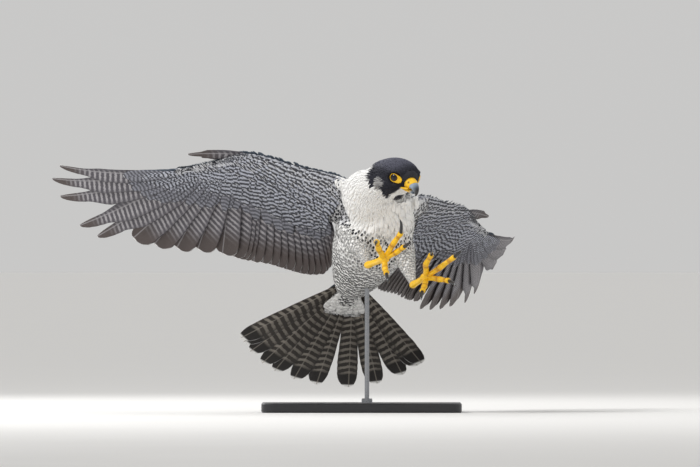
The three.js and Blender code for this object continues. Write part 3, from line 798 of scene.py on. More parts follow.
def feather_piece(name, spine, side, up, inner, outer, shape, base, marks, uv, draw, ragged=0.0):
    """One object of many closed feathers.

    spine, side and up hold a point and two directions for each feather and station. inner and outer are its
    web widths there. base and marks are one row a feather or one a station, and uv is its root's place on the
    unwrapped skin.
    """
    feathers, stations = spine.shape[:2]
    x = shape.across
    columns = len(x)
    wide = np.where(x < 0, inner[..., None], outer[..., None]) * shape.width[None, :, None]
    if ragged:
        wide = wide * (1 + ragged * (draw.random((feathers, stations, 1)) - 0.5))
    off = wide * x
    half = np.maximum(inner, outer)[..., None]
    rise = -shape.camber * x * x * half * shape.width[None, :, None]
    rib = shape.thickness * (0.5 + 1.3 * (np.abs(x) < 0.06) * (1 - 0.8 * shape.t[:, None]))
    top = spine[:, :, None] + side[:, :, None] * off[..., None] + up[:, :, None] * (rise + rib)[..., None]
    low_x = slice(columns - 2, 0, -1)
    under = (
        spine[:, :, None] + side[:, :, None] * off[..., None]
        + up[:, :, None] * (rise - shape.thickness * 0.5)[..., None]
    )[:, :, low_x]
    ring = np.concatenate([top, under], axis=2)
    sides = ring.shape[2]
    quads, first, last = ring_faces(stations, sides)
    start = (np.arange(feathers) * stations * sides)[:, None]
    loops = np.concatenate([
        (quads.ravel()[None] + start).ravel(), (first[None] + start).ravel(), (last[None] + start).ravel()])
    totals = [4] * (len(quads) * feathers) + [sides] * (2 * feathers)
    piece = facing_out(make_object(name, ring.reshape(-1, 3), loops, totals))
    reach = np.linalg.norm(np.diff(spine, axis=1), axis=2)
    gone = np.concatenate([np.zeros((feathers, 1)), np.cumsum(reach, axis=1)], axis=1)
    from_tip = gone[:, -1:] - gone
    xs = np.concatenate([x, x[low_x]])
    across = np.concatenate([off, off[:, :, low_x]], axis=2)
    seed = draw.random((feathers, 1, 1)) + np.zeros((feathers, stations, sides))
    place = np.stack([across, from_tip[..., None] + np.zeros_like(across), seed], axis=-1)
    write_attribute(piece.data, "place", place.reshape(-1, 3))
    for label, values in (("tint", base), ("marks", marks)):
        values = np.asarray(values, float)
        if values.shape[-1] == 3:
            values = np.concatenate([values, np.ones(values.shape[:-1] + (1,))], axis=-1)
        if values.ndim == 2:
            values = np.repeat(values[:, None], stations, 1)
        full = np.repeat(values[:, :, None], sides, 2)
        if label == "tint":
            full[..., 3] = np.abs(xs)
        write_attribute(piece.data, label, full.reshape(-1, 4))
    level = np.zeros_like(across)
    patch = np.stack([xs[None, None] * 0.5 + level, shape.t[None, :, None] - 0.5 + level], -1)
    write_uv(piece.data, (uv[:, None, None] + PATCH * patch).reshape(-1, 2))
    return piece


# The width of one feather's patch on the unwrapped skin
PATCH = 0.003


def write_uv(mesh, per_point):
    """Writes the map that a bake uses, from one place for each point."""
    layer = mesh.uv_layers.new(name="OFBake")
    corners = np.empty(len(mesh.loops), np.int32)
    mesh.loops.foreach_get("vertex_index", corners)
    layer.data.foreach_set("uv", per_point[corners].astype(np.float32).ravel())


def lay_on_skin(tree, roots, lies, lengths, lifts, stations):
    """Spines that follow the skin from each root along its lie, rising towards the tip."""
    count = len(roots)
    spine = np.empty((count, stations, 3))
    up = np.empty((count, stations, 3))
    at = (roots - STAND_CENTRE) * MM
    heading = lies.copy()
    steps = lengths / (stations - 1)
    normal = None
    for k in range(stations):
        found = [tree.find_nearest(Vector(point)) for point in at]
        where = np.array([f[0] for f in found])
        facing = np.array([f[1] for f in found])
        normal = facing if normal is None else unit(normal * 0.55 + facing * 0.45)
        t = k / (stations - 1)
        spine[:, k] = where / MM + STAND_CENTRE + normal * (0.1 + lifts * t ** 1.3)[:, None]
        up[:, k] = normal
        heading = unit(heading - normal * dot(heading, normal))
        at = where + heading * (steps * MM)[:, None]
    along = unit(np.gradient(spine, axis=1))
    side = unit(np.cross(along, up))
    return spine, side, unit(np.cross(side, along))


def unwrap(points, region):
    """Place on an unwrap of a limb: round its middle, and along it."""
    index, _ = region.nearest(points)
    lie = region.lie[index]
    away = points - region.points[index]
    away = away - lie * dot(away, lie)
    east = unit(np.cross(lie, BODY_AXES.up))
    north = np.cross(lie, east)
    turn = np.arctan2(dot(away, north)[:, 0], dot(away, east)[:, 0]) / (2 * math.pi) + 0.5
    along = (index + dot(points - region.points[index], lie)[:, 0] / 20) / len(region.points)
    return np.stack([0.02 + 0.96 * turn, 0.02 + 0.96 * np.clip(along, 0, 1)], axis=-1)


# Each coat: the regions it covers, spacing, length, half-width, lift of the tips, and feather shape
def coat_plan(sizes):
    breast, head, thigh = [
        millimetres(v) for v in (sizes.breast_feather, sizes.head_feather, sizes.thigh_feather)]
    plan = {
        "coat_head": (["head"], 0.3 * head, head, 0.27 * head, 0.5, DOWN),
        "coat_neck": (["neck"], 0.19 * breast, 0.68 * breast, 0.16 * breast, 0.9, TUFT),
        "coat_torso": (["torso"], 0.27 * breast, breast, 0.27 * breast, 1.3, TUFT),
        "coat_rump": (["rump"], 0.28 * breast, 1.7 * breast, 0.32 * breast, 2.4, TUFT),
    }
    for name in LEGS:
        plan["coat_thigh_" + name] = (["thigh_" + name], 0.26 * thigh, thigh, 0.22 * thigh, 1.6, TUFT)
        plan["coat_arm_" + name] = (["arm_" + name], 0.25 * thigh, 0.9 * thigh, 0.22 * thigh, 1.1, TUFT)
    return plan


def build_coats(skin, sizes, colours, material):
    """Small body feathers over the whole skin, in one piece for each stretch of it."""
    draw = np.random.default_rng(sizes.seed)
    found = regions()
    labels = np.array([region.name for region in found])
    tree = BVHTree.FromObject(skin, bpy.context.evaluated_depsgraph_get())
    samples = surface_samples(skin.data, 160000, draw)
    lie, which = lie_of_plumage(samples, found)
    names = labels[which]
    clear = ~on_bare_face(samples)
    pieces = []
    for name, (covered, spacing, long, half, lift, shape) in coat_plan(sizes).items():
        chosen = np.flatnonzero(np.isin(names, covered) & clear)
        size = feather_scale(samples[chosen], name)
        kept = chosen[thinned(samples[chosen], spacing * size)]
        size = feather_scale(samples[kept], name)
        vary = 0.85 + 0.3 * draw.random(len(kept))
        lies = unit(lie[kept] + 0.16 * draw.normal(size=(len(kept), 3)))
        spine, side, up = lay_on_skin(
            tree, samples[kept], lies, long * size * vary, lift * vary * size, len(shape.t))
        width = np.repeat((half * size * vary)[:, None], len(shape.t), 1)
        base, marks = coat_marks(samples[kept], names[kept], colours)
        # The small feathers of an arm are whiter than the skin under them, and each has a dark spot
        if name.startswith("coat_arm"):
            base = base * 0.4 + np.array(colours.white) * 0.6
            marks[:] = (0, 1, 0, 0)
        base = base * (1 + 0.07 * (draw.random((len(kept), 1)) - 0.5))
        uv = unwrap(samples[kept], found[list(labels).index(covered[0])])
        piece = feather_piece(
            name, spine, side, up, width, width, shape, base, marks, uv, draw, ragged=0.12)
        pieces.append(finish_piece(piece, material))
    return pieces


def on_bare_face(points):
    """Whether a point is under the lids of an eye or under the cere."""
    bare = HEAD_AXES.local(points)[0] > BARE_FACE["cere"]
    for wing in WINGS.values():
        ahead, aside = round_eye(points, wing["side"])
        bare |= (ahead > 0) & (aside < BARE_FACE["eye"])
    return bare


def feather_scale(points, name):
    """Feathers are shortest at the bill, behind the hood and on the shanks."""
    if name == "coat_head":
        forward, _, _ = HEAD_AXES.local(points)
        return 0.5 + 0.65 * ramp(-forward, -22, 30)
    if name == "coat_neck":
        forward, _, _ = HEAD_AXES.local(points)
        return 1 - 0.4 * ramp(forward, -44, -28)
    if name.startswith("coat_thigh"):
        leg = LEGS[name.rsplit("_", 1)[1]]
        ankle = np.array(leg["shank"][-1][:3], float)
        return 0.5 + 0.55 * ramp(np.linalg.norm(points - ankle, axis=1), 8, 60)
    if name.startswith("coat_arm"):
        plane = WingPlane(name.rsplit("_", 1)[1])
        out = (points - plane.shoulder) @ plane.out
        return 1.05 - 0.45 * ramp(out, 60, 200)
    return np.ones(len(points))


# Wing feathers
def spine_on(place, root, tip, lift, shape, tilt, sweep=0.0):
    """A feather's spine and directions in a wing or tail plane. root and tip are rows of places there."""
    root, tip = np.atleast_2d(root).astype(float), np.atleast_2d(tip).astype(float)
    lift = np.atleast_2d(lift).astype(float)
    t = shape.t[None]
    run = tip - root
    length_of = np.linalg.norm(run, axis=1)[:, None]
    cross = np.stack([run[:, 1], -run[:, 0]], axis=1) / length_of
    bow = sweep * length_of * np.sin(math.pi * t)
    p = root[:, :1] + run[:, :1] * t + cross[:, :1] * bow
    q = root[:, 1:] + run[:, 1:] * t + cross[:, 1:] * bow
    height = lift[:, :1] + (lift[:, 1:] - lift[:, :1]) * t
    spine = place(p, q, height)
    step = 1.0
    beside = place(p + cross[:, :1] * step, q + cross[:, 1:] * step, height + tilt * step)
    side = unit(beside - spine)
    along = unit(np.gradient(spine, axis=1))
    up = unit(np.cross(side, along))
    return spine, side, up


def wing_lines():
    """Lines across the wing from the leading edge to the flight feathers' roots and tips."""
    roots = [(30, 32), (47, 34), (73, 34), (100, 33), (130, 31), (157, 30)]
    roots += [(WRIST[0] + HAND_DIRECTION[0] * d, WRIST[1] + HAND_DIRECTION[1] * d) for d, *_ in PRIMARIES]
    tips = [(4, 100), (8, 116), (9, 143), (45, 164), (77, 174), (111, 190)]
    tips += [tip for _, tip, _, _ in PRIMARIES]
    leads = [(12, -40), (30, -40), (56, -32), (84, -20), (116, -10), (142, -1)]
    leads += [
        (158, 8), (166, 14), (174, 24), (181, 35), (188, 45), (198, 57), (208, 68), (219, 80), (230, 92),
        (238, 102)]
    return np.array(leads, float), np.array(roots, float), np.array(tips, float)


def wing_line(u, c):
    """A place on the wing: u from the body, 0, to the outermost primary, 1; c from the leading edge, 0,
    over the roots of the flight feathers, 1, to their tips, 2."""
    leads, roots, tips = wing_lines()
    t = np.asarray(u, float) * (len(leads) - 1)
    lead, root, tip = smooth(leads, t), smooth(roots, t), smooth(tips, t)
    c = np.asarray(c, float)[..., None]
    return np.where(c < 1, lead + (root - lead) * c, root + (tip - root) * (c - 1))


def wing_thickness(u, c):
    """Half the thickness of the flesh there."""
    thick = np.interp(u, [0, 0.2, 0.35, 0.5, 0.75, 1], [8, 7, 5.4, 4, 2.8, 1.8])
    return thick * np.sqrt(np.clip(c * (1.5 - c), 0, None) / 0.5625)


# Covert rows: first and last place out along the wing, where on the chord they start, length as a share of
# the chord, and how many
COVERT_ROWS = [
    {"from": 0.02, "to": 0.98, "at": at, "reach": reach, "count": count}
    for at, reach, count in (
        (0.01, 0.17, 74), (0.07, 0.2, 68), (0.16, 0.28, 58), (0.28, 0.28, 56), (0.40, 0.28, 54),
        (0.52, 0.29, 52), (0.64, 0.30, 50), (0.76, 0.31, 46), (0.88, 0.33, 42), (0.98, 0.38, 38))
]
# The chord of the hand below which only the tips of its small coverts show
NARROW_HAND = 19
GREATER_COVERTS = {"from": 0.02, "to": 0.99, "at": 1.02, "reach": 0.5, "count": 30}


def covert_row(row, under, draw, number):
    """Roots, tips and heights of one row of coverts below or above the wing."""
    shift = 0.5 * (number % 2) / row["count"]
    u = np.linspace(row["from"], row["to"], row["count"]) + shift * (row["to"] - row["from"])
    u = np.clip(u + 0.004 * draw.normal(size=len(u)), 0, 1)
    start = row["at"] + 0.012 * draw.normal(size=len(u))
    shrink = np.interp(u, [0, 0.3, 0.6, 1], [1.0, 1.0, 0.9, 0.72])
    end = start + row["reach"] * shrink * (0.94 + 0.12 * draw.random(len(u)))
    root, tip = wing_line(u, start), wing_line(u, end)
    down = np.interp(u, [0, 0.4, 1], [0.6, 1.4, 3.9])
    rise = np.interp(u, [0, 0.4, 1], [2.6, 2.4, 0.6])
    level = [np.maximum(wing_thickness(u, c), down if under else rise) for c in (start, end)]
    sign = -1 if under else 1
    low = sign * (level[0] + 0.15)
    high = sign * (level[1] + 1.25)
    return u, start, end, root, tip, np.stack([low, high], axis=1)


def wing_coverts(plane, under, colours, material, draw):
    """Every row of coverts on one side of a wing, as one piece."""
    rows = COVERT_ROWS + [GREATER_COVERTS]
    parts = {key: [] for key in ("spine", "side", "up", "inner", "outer", "base", "marks", "uv")}
    for number, row in enumerate(rows):
        u, start, end, root, tip, lift = covert_row(row, under, draw, number)
        spine, side, up = spine_on(plane.place, root, tip, lift, COVERT, 0.0)
        if under == (plane.side > 0):
            side, up = -side, -up
        gap = np.linalg.norm(np.gradient(root + tip, axis=0) / 2, axis=1)
        half = np.clip(gap * 0.95, 3.6, 9.5)
        parts["spine"].append(spine)
        parts["side"].append(side)
        parts["up"].append(up)
        for key in ("inner", "outer"):
            parts[key].append(np.repeat(half[:, None], len(COVERT.t), 1))
        base, marks = covert_colours(u, end, under, row is GREATER_COVERTS, colours, draw)
        parts["base"].append(base)
        parts["marks"].append(marks)
        parts["uv"].append(np.stack([0.02 + 0.96 * u, 0.02 + 0.96 * start / 2], axis=1))
    joined = {key: np.concatenate(values) for key, values in parts.items()}
    name = ("underwing_coverts_" if under else "upperwing_coverts_") + plane.name
    piece = feather_piece(name, **joined, shape=COVERT, draw=draw, ragged=0.06)
    return finish_piece(piece, material)


def covert_colours(u, end, under, greater, colours, draw):
    """Tint and marks of a row of coverts."""
    count = len(u)
    marks = np.zeros((count, 4))
    if under:
        lining, quill = np.array(colours.lining), np.array(colours.quill)
        share = (0.35 * greater + 0.25 * ramp(end, 1.15, 1.5))[:, None]
        base = lining * (1 - share) + quill * 1.25 * share
        # Paler towards the leading edge: a painted highlight, where light grazes the front of the wing
        edge = 1 - ramp(end, 0.3, 0.8)[:, None]
        base = base * (1 - 0.2 * edge) + np.array(colours.white) * 0.2 * edge
        marks[:, 0] = 0.9 - 0.25 * greater
        marks[:, 2] = 0.35
        # On the narrow hand only the tips show, too little for a bar, so half of the leading ones are dark
        chord = np.linalg.norm(wing_line(u, 1.0) - wing_line(u, 0.0), axis=1)
        dark = (chord < NARROW_HAND) & (end < 0.8) & (draw.random(count) < 0.5)
        base[dark] = colours.bar
        marks[dark, 2] = 0
    else:
        slate = np.array(colours.slate)
        base = np.repeat(slate[None], count, 0)
        marks[:, 0] = 0.35
        marks[:, 2] = 0.5
        marks[:, 3] = 1
    return base * (1 + 0.08 * (draw.random((count, 1)) - 0.5)), marks


def even_points(points, count):
    """Points shared out evenly by number along a smooth line through the given ones."""
    return smooth(points, np.linspace(0, len(points) - 1, count))


# How much wider each web is on the two primaries and two secondaries nearest the wrist
WIDER_BY_WRIST = 3.5


def flight_feathers(plane, colours, material, draw):
    """The primaries, secondaries, tertials and alula of a wing."""
    level = 1.2
    groups = []
    for i, (distance, tip, outer, inner) in enumerate(PRIMARIES):
        root = (WRIST[0] + HAND_DIRECTION[0] * distance, WRIST[1] + HAND_DIRECTION[1] * distance)
        height = level - 0.33 * i
        shape = SECONDARY_SHAPE if i < 5 else PRIMARY_SHAPE
        # The two by the wrist are wider than in the solids, which closes a slit in the drawn-back wing
        wider = WIDER_BY_WRIST * (i < 2)
        webs = (outer + wider, inner + wider)
        groups.append((shape, root, tip, (height, height), *webs, PRIMARY_TILT, 0.0))
    roots = even_points(SECONDARY_ROOTS, SECONDARY_COUNT)
    tips = even_points(SECONDARY_TIPS, SECONDARY_COUNT)
    for i, (root, tip) in enumerate(zip(roots, tips)):
        # The outermost two reach across the bend of the wrist to the primaries
        wider = WIDER_BY_WRIST * (i < 2)
        webs = (9 + wider, 14 + wider)
        groups.append((SECONDARY_SHAPE, root, tip, (level, level), *webs, SECONDARY_TILT, -0.03))
    for root, tip in TERTIALS:
        groups.append((SECONDARY_SHAPE, root, tip, (level, level), 9, 12, SECONDARY_TILT, -0.03))
    for feather in ALULA:
        groups.append((
            PRIMARY_SHAPE, feather["root"], feather["tip"], feather["lift"], feather["outer"],
            feather["inner"], 0.05, 0.02))
    quill = np.array(colours.quill)
    pieces = []
    for label, shape in (("secondaries", SECONDARY_SHAPE), ("primaries", PRIMARY_SHAPE)):
        chosen = [group for group in groups if group[0] is shape]
        spines = [
            spine_on(plane.place, root, tip, [lift], shape, tilt, sweep)
            for _, root, tip, lift, _, _, tilt, sweep in chosen]
        spine, side, up = [np.concatenate(values) for values in zip(*spines)]
        outer = np.repeat(np.array([g[4] for g in chosen], float)[:, None], len(shape.t), 1)
        inner = np.repeat(np.array([g[5] for g in chosen], float)[:, None], len(shape.t), 1)
        if label == "primaries":
            outer, inner = notched(outer, shape, 0.45), notched(inner, shape, 0.35)
        side = -side
        inner, outer = outer, inner
        if plane.side > 0:
            up = -up
        count = len(chosen)
        base = np.repeat(quill[None], count, 0) * (1 + 0.06 * (draw.random((count, 1)) - 0.5))
        marks = np.zeros((count, 4))
        cells = np.arange(count)
        uv = np.stack([0.06 + 0.88 * (cells % 6) / 5, 0.1 + 0.8 * (cells // 6) / 3], axis=1)
        piece = feather_piece(
            label + "_" + plane.name, spine, side, up, inner, outer, shape, base, marks, uv, draw,
            ragged=0.05)
        pieces.append(finish_piece(piece, material))
    return pieces


def notched(width, shape, depth):
    """Narrows a web towards its tip, as the emarginated outer primaries do."""
    return width * (1 - depth * ramp(shape.t, 0.62, 0.8))[None]


def tail_feathers(colours, material, draw):
    """The twelve tail feathers."""
    middle = len(TAIL_ANGLES) / 2
    roots, tips, lifts, outers, inners = [], [], [], [], []
    for i, angle in enumerate(TAIL_ANGLES):
        layer = middle - i if i < middle else i - middle
        aside = (i + 0.5 - middle) * 1.2
        share = 1 - (angle / TAIL_LENGTHS["spread"]) ** 2
        long = TAIL_LENGTHS["outer"] + (TAIL_LENGTHS["middle"] - TAIL_LENGTHS["outer"]) * share
        turn = math.radians(angle)
        roots.append((aside, TAIL_PIVOT))
        tips.append((aside + long * math.sin(turn), TAIL_PIVOT + long * math.cos(turn)))
        lifts.append((-TAIL_LAYER * layer, -TAIL_LAYER * layer))
        webs = (TAIL_WEBS["inner"], TAIL_WEBS["outer"])
        outers.append(webs[0] if i < middle else webs[1])
        inners.append(webs[1] if i < middle else webs[0])
    spine, side, up = spine_on(tail_place, roots, tips, lifts, TAIL_SHAPE, 0.0)
    stations = len(TAIL_SHAPE.t)
    outer = np.repeat(np.array(outers, float)[:, None], stations, 1)
    inner = np.repeat(np.array(inners, float)[:, None], stations, 1)
    count = len(TAIL_ANGLES)
    base = np.repeat(np.array(colours.tail)[None], count, 0)
    marks = np.zeros((count, 4))
    cells = np.arange(count)
    uv = np.stack([0.08 + 0.84 * (cells % 4) / 3, 0.15 + 0.7 * (cells // 4) / 2], axis=1)
    piece = feather_piece(
        "tail_feathers", spine, -side, -up, outer, inner, TAIL_SHAPE, base, marks, uv, draw, ragged=0.04)
    return finish_piece(piece, material, ["tail"])


def tail_coverts(name, colour_value, bars, material, draw):
    """Rows of soft feathers over the roots of the tail, on one side of it."""
    rows = TAIL_COVERTS[name]
    roots, tips, lifts = [], [], []
    for start in rows["from"]:
        for angle in np.radians(np.linspace(-rows["spread"], rows["spread"], rows["count"])):
            turn = angle + 0.03 * draw.normal()
            reach = start + rows["reach"] * (0.85 + 0.3 * draw.random())
            roots.append((start * math.sin(turn), TAIL_PIVOT + start * math.cos(turn)))
            tips.append((reach * math.sin(turn), TAIL_PIVOT + reach * math.cos(turn)))
            lifts.append(np.array(rows["height"]) + 0.8 * draw.normal())
    spine, side, up = spine_on(tail_place, roots, tips, lifts, COVERT, 0.0)
    sign = 1 if rows["height"][0] > 0 else -1
    count = len(roots)
    half = np.full((count, len(COVERT.t)), rows["half"])
    base = np.array(colour_value)[None] * (1 + 0.08 * (draw.random((count, 1)) - 0.5))
    marks = np.repeat([[bars, 0, 0.3, float(sign > 0)]], count, 0)
    cells = np.arange(count)
    lines = max(1, cells[-1] // 12)
    uv = np.stack([0.05 + 0.9 * (cells % 12) / 11, 0.05 + 0.9 * (cells // 12) / lines], axis=1)
    piece = feather_piece(name, spine, side, up * sign, half, half, COVERT, base, marks, uv, draw, ragged=0.2)
    return finish_piece(piece, material)


# Materials
class Nodes:
    """Adds and links nodes of one tree in few words."""

    def __init__(self, tree):
        self.tree = tree

    def add(self, kind, **inputs):
        node = self.tree.nodes.new(kind)
        for key, value in inputs.items():
            socket = node.inputs[int(key[1:])] if key[0] == "i" and key[1:].isdigit() else node.inputs[key]
            self.put(value, socket)
        return node

    def put(self, value, socket):
        if isinstance(value, bpy.types.NodeSocket):
            self.tree.links.new(value, socket)
        else:
            socket.default_value = value

    def math(self, operation, a, b=0.0, c=0.0):
        node = self.add("ShaderNodeMath", i0=a, i1=b, i2=c)
        node.operation = operation
        return node.outputs[0]

    def mix(self, share, a, b):
        node = self.tree.nodes.new("ShaderNodeMix")
        node.data_type = "RGBA"
        self.put(share, node.inputs[0])
        for value, socket in ((a, node.inputs[6]), (b, node.inputs[7])):
            self.put(value if isinstance(value, bpy.types.NodeSocket) else (*value[:3], 1), socket)
        return node.outputs[2]

    def step(self, value, low, high):
        """0 below low and 1 above high."""
        node = self.add("ShaderNodeMapRange", i0=value, i1=low, i2=high, i3=0.0, i4=1.0)
        node.interpolation_type = "SMOOTHSTEP"
        return node.outputs[0]

    def noise(self, vector, scale, detail=2.0):
        node = self.add("ShaderNodeTexNoise", Scale=scale, Detail=detail)
        if vector is not None:
            self.put(vector, node.inputs["Vector"])
        return node.outputs[0]

    def attribute(self, name):
        node = self.tree.nodes.new("ShaderNodeAttribute")
        node.attribute_name = name
        return node

    def split(self, vector):
        return self.add("ShaderNodeSeparateXYZ", i0=vector).outputs

    def join(self, x, y, z=0.0):
        return self.add("ShaderNodeCombineXYZ", i0=x, i1=y, i2=z).outputs[0]


def new_group(name, inputs, outputs):
    """A shader node group with named inputs and outputs."""
    group = bpy.data.node_groups.new(name, "ShaderNodeTree")
    for label, kind, default in inputs:
        socket = group.interface.new_socket(label, in_out="INPUT", socket_type=kind)
        socket.default_value = default
    for label, kind in outputs:
        group.interface.new_socket(label, in_out="OUTPUT", socket_type=kind)
    nodes = Nodes(group)
    return group, nodes, group.nodes.new("NodeGroupInput").outputs, group.nodes.new("NodeGroupOutput").inputs


def barb_group():
    """The fine parallel barbs of a feather and its shaft, as a height, a shade and a shaft mask."""
    group, nodes, given, out = new_group(
        "Barbs",
        [("Place", "NodeSocketVector", (0, 0, 0)), ("Barb width", "NodeSocketFloat", 0.7),
         ("Shaft width", "NodeSocketFloat", 0.35)],
        [("Height", "NodeSocketFloat"), ("Shade", "NodeSocketFloat"), ("Shaft", "NodeSocketFloat")])
    across, from_tip, seed = nodes.split(given["Place"])
    aside = nodes.math("ABSOLUTE", across)
    run = nodes.math("ADD", from_tip, nodes.math("MULTIPLY", aside, 0.9))
    uneven = nodes.noise(nodes.join(run, nodes.math("MULTIPLY", seed, 57.0)), 0.5)
    run = nodes.math("ADD", run, nodes.math("MULTIPLY", uneven, 1.4))
    barb = nodes.math("DIVIDE", run, given["Barb width"])
    wave = nodes.math("SINE", nodes.math("MULTIPLY", barb, 2 * math.pi))
    from_shaft = nodes.math("DIVIDE", aside, given["Shaft width"])
    shaft = nodes.math("SUBTRACT", 1.0, nodes.step(from_shaft, 0.6, 1.1))
    height = nodes.math("ADD", nodes.math("MULTIPLY", wave, 0.5), nodes.math("MULTIPLY", shaft, 2.0))
    streak = nodes.noise(nodes.join(run, nodes.math("MULTIPLY", seed, 31.0)), 1.6)
    nodes.put(height, out["Height"])
    nodes.put(streak, out["Shade"])
    nodes.put(shaft, out["Shaft"])
    return group


def bars_group():
    """Bars across a feather, counted from its tip, as a mask."""
    group, nodes, given, out = new_group(
        "Bars",
        [("Place", "NodeSocketVector", (0, 0, 0)), ("Spacing", "NodeSocketFloat", 5.0),
         ("Share", "NodeSocketFloat", 0.5), ("Slant", "NodeSocketFloat", 0.3),
         ("Wobble", "NodeSocketFloat", 1.0)],
        [("Mask", "NodeSocketFloat")])
    across, from_tip, seed = nodes.split(given["Place"])
    aside = nodes.math("ABSOLUTE", across)
    run = nodes.math("SUBTRACT", from_tip, nodes.math("MULTIPLY", aside, given["Slant"]))
    noise_at = nodes.join(across, from_tip, nodes.math("MULTIPLY", seed, 40.0))
    wobble = nodes.math("SUBTRACT", nodes.noise(noise_at, 0.35), 0.5)
    run = nodes.math("ADD", run, nodes.math("MULTIPLY", wobble, nodes.math("MULTIPLY", given["Wobble"], 3.0)))
    phase = nodes.math("FRACT", nodes.math("DIVIDE", run, given["Spacing"]))
    triangle = nodes.math("ABSOLUTE", nodes.math("SUBTRACT", nodes.math("MULTIPLY", phase, 2.0), 1.0))
    low = nodes.math("SUBTRACT", given["Share"], 0.16)
    high = nodes.math("ADD", given["Share"], 0.16)
    node = nodes.add("ShaderNodeMapRange", i0=triangle, i1=low, i2=high, i3=1.0, i4=0.0)
    node.interpolation_type = "SMOOTHSTEP"
    nodes.put(node.outputs[0], out["Mask"])
    return group


def use_group(nodes, group, **inputs):
    node = nodes.tree.nodes.new("ShaderNodeGroup")
    node.node_tree = group
    for key, value in inputs.items():
        nodes.put(value, node.inputs[key.replace("_", " ")])
    return node.outputs


def new_material(name):
    material = bpy.data.materials.new(name)
    material.use_nodes = True
    material.node_tree.nodes.clear()
    nodes = Nodes(material.node_tree)
    shader = nodes.add("ShaderNodeBsdfPrincipled")
    out = nodes.add("ShaderNodeOutputMaterial")
    nodes.put(shader.outputs[0], out.inputs[0])
    return material, nodes, shader.inputs


def bumped(nodes, height, distance, strength=1.0):
    node = nodes.add("ShaderNodeBump", Strength=strength, Distance=distance, Height=height)
    return node.outputs[0]


# The painted shade between barbs, and the painted shade in the creases of the toes, as linear colours
BARB_SHADE = (0.02, 0.02, 0.024)
TOE_CREASE_SHADE = (0.36, 0.105, 0.018)


def coat_material(name, groups, colours, bar_spacing, barb=0.7):
    """Small feathers: their own tint, with bars, a spot at the tip, a pale edge, painted shade between the
    barbs and raised shafts.
    """
    material, nodes, shader = new_material(name)
    place = nodes.attribute("place").outputs["Vector"]
    tint = nodes.attribute("tint").outputs["Color"]
    marks = nodes.attribute("marks")
    split = nodes.add("ShaderNodeSeparateColor", i0=marks.outputs["Color"]).outputs
    dark_side = marks.outputs["Alpha"]
    across, from_tip, _ = nodes.split(place)
    barbs = use_group(nodes, groups["barbs"], Place=place, Barb_width=barb, Shaft_width=0.3)
    bars = use_group(
        nodes, groups["bars"], Place=place, Spacing=bar_spacing, Share=0.5, Slant=-0.25, Wobble=1.0)
    bar_colour = nodes.mix(dark_side, colours.bar, colours.slate_bar)
    shaded = nodes.mix(nodes.math("MULTIPLY", bars["Mask"], split[0]), tint, bar_colour)
    wide = nodes.math("POWER", nodes.math("DIVIDE", across, 1.5), 2.0)
    long = nodes.math("POWER", nodes.math("DIVIDE", nodes.math("SUBTRACT", from_tip, 3.2), 2.4), 2.0)
    spot = nodes.math("SUBTRACT", 1.0, nodes.step(nodes.math("ADD", wide, long), 0.6, 1.3))
    shaded = nodes.mix(nodes.math("MULTIPLY", spot, split[1]), shaded, colours.bar)
    edge = nodes.math("SUBTRACT", 1.0, nodes.step(from_tip, 0.5, 1.8))
    shaded = nodes.mix(nodes.math("MULTIPLY", edge, split[2]), shaded, colours.white)
    dim = nodes.math("MULTIPLY", nodes.math("SUBTRACT", barbs["Shade"], 0.5), 0.35)
    shaded = nodes.mix(nodes.math("MAXIMUM", dim, 0.0), shaded, BARB_SHADE)
    nodes.put(shaded, shader["Base Color"])
    nodes.put(0.78, shader["Roughness"])
    nodes.put(0.25, shader["Specular IOR Level"])
    nodes.put(bumped(nodes, barbs["Height"], 0.12 * MM, 0.5), shader["Normal"])
    return material


def quill_material(name, groups, colours, base, tip, bar, spacing, tip_width, fade, outer_bars):
    """Flight or tail feathers: pale bars on a dark web, a dark end with a pale tip, and a pale shaft."""
    material, nodes, shader = new_material(name)
    place = nodes.attribute("place").outputs["Vector"]
    across, from_tip, _ = nodes.split(place)
    barbs = use_group(nodes, groups["barbs"], Place=place, Barb_width=0.9, Shaft_width=0.9)
    bars = use_group(nodes, groups["bars"], Place=place, Spacing=spacing, Share=0.42, Slant=-0.35, Wobble=1.2)
    inner = nodes.step(across, -6.0, 4.0)
    away = nodes.step(from_tip, *fade)
    web = nodes.math("ADD", outer_bars, nodes.math("MULTIPLY", inner, 0.87 - outer_bars))
    rim_share = nodes.attribute("tint").outputs["Alpha"]
    oval = nodes.math("SUBTRACT", 1.0, nodes.step(rim_share, 0.6, 1.0))
    web = nodes.math("MULTIPLY", web, nodes.math("ADD", 0.3, nodes.math("MULTIPLY", oval, 0.7)))
    share = nodes.math("MULTIPLY", nodes.math("MULTIPLY", bars["Mask"], away), web)
    worn = nodes.mix(away, tip, base)
    shaded = nodes.mix(share, worn, bar)
    rim = nodes.step(rim_share, 0.93, 1.0)
    near_tip = nodes.math("SUBTRACT", 1.0, nodes.step(from_tip, 9.0, 24.0))
    end = nodes.math("SUBTRACT", 1.0, nodes.step(from_tip, tip_width * 0.6, tip_width * 1.3))
    pale = nodes.math("MAXIMUM", end, nodes.math("MULTIPLY", rim, nodes.math("MULTIPLY", near_tip, 0.85)))
    shaded = nodes.mix(pale, shaded, colours.white)
    shaded = nodes.mix(nodes.math("MULTIPLY", barbs["Shaft"], 0.5), shaded, bar)
    dim = nodes.math("MAXIMUM", nodes.math("MULTIPLY", nodes.math("SUBTRACT", barbs["Shade"], 0.5), 0.5), 0.0)
    shaded = nodes.mix(dim, shaded, BARB_SHADE)
    nodes.put(shaded, shader["Base Color"])
    nodes.put(0.6, shader["Roughness"])
    nodes.put(0.35, shader["Specular IOR Level"])
    nodes.put(bumped(nodes, barbs["Height"], 0.15 * MM, 0.5), shader["Normal"])
    return material


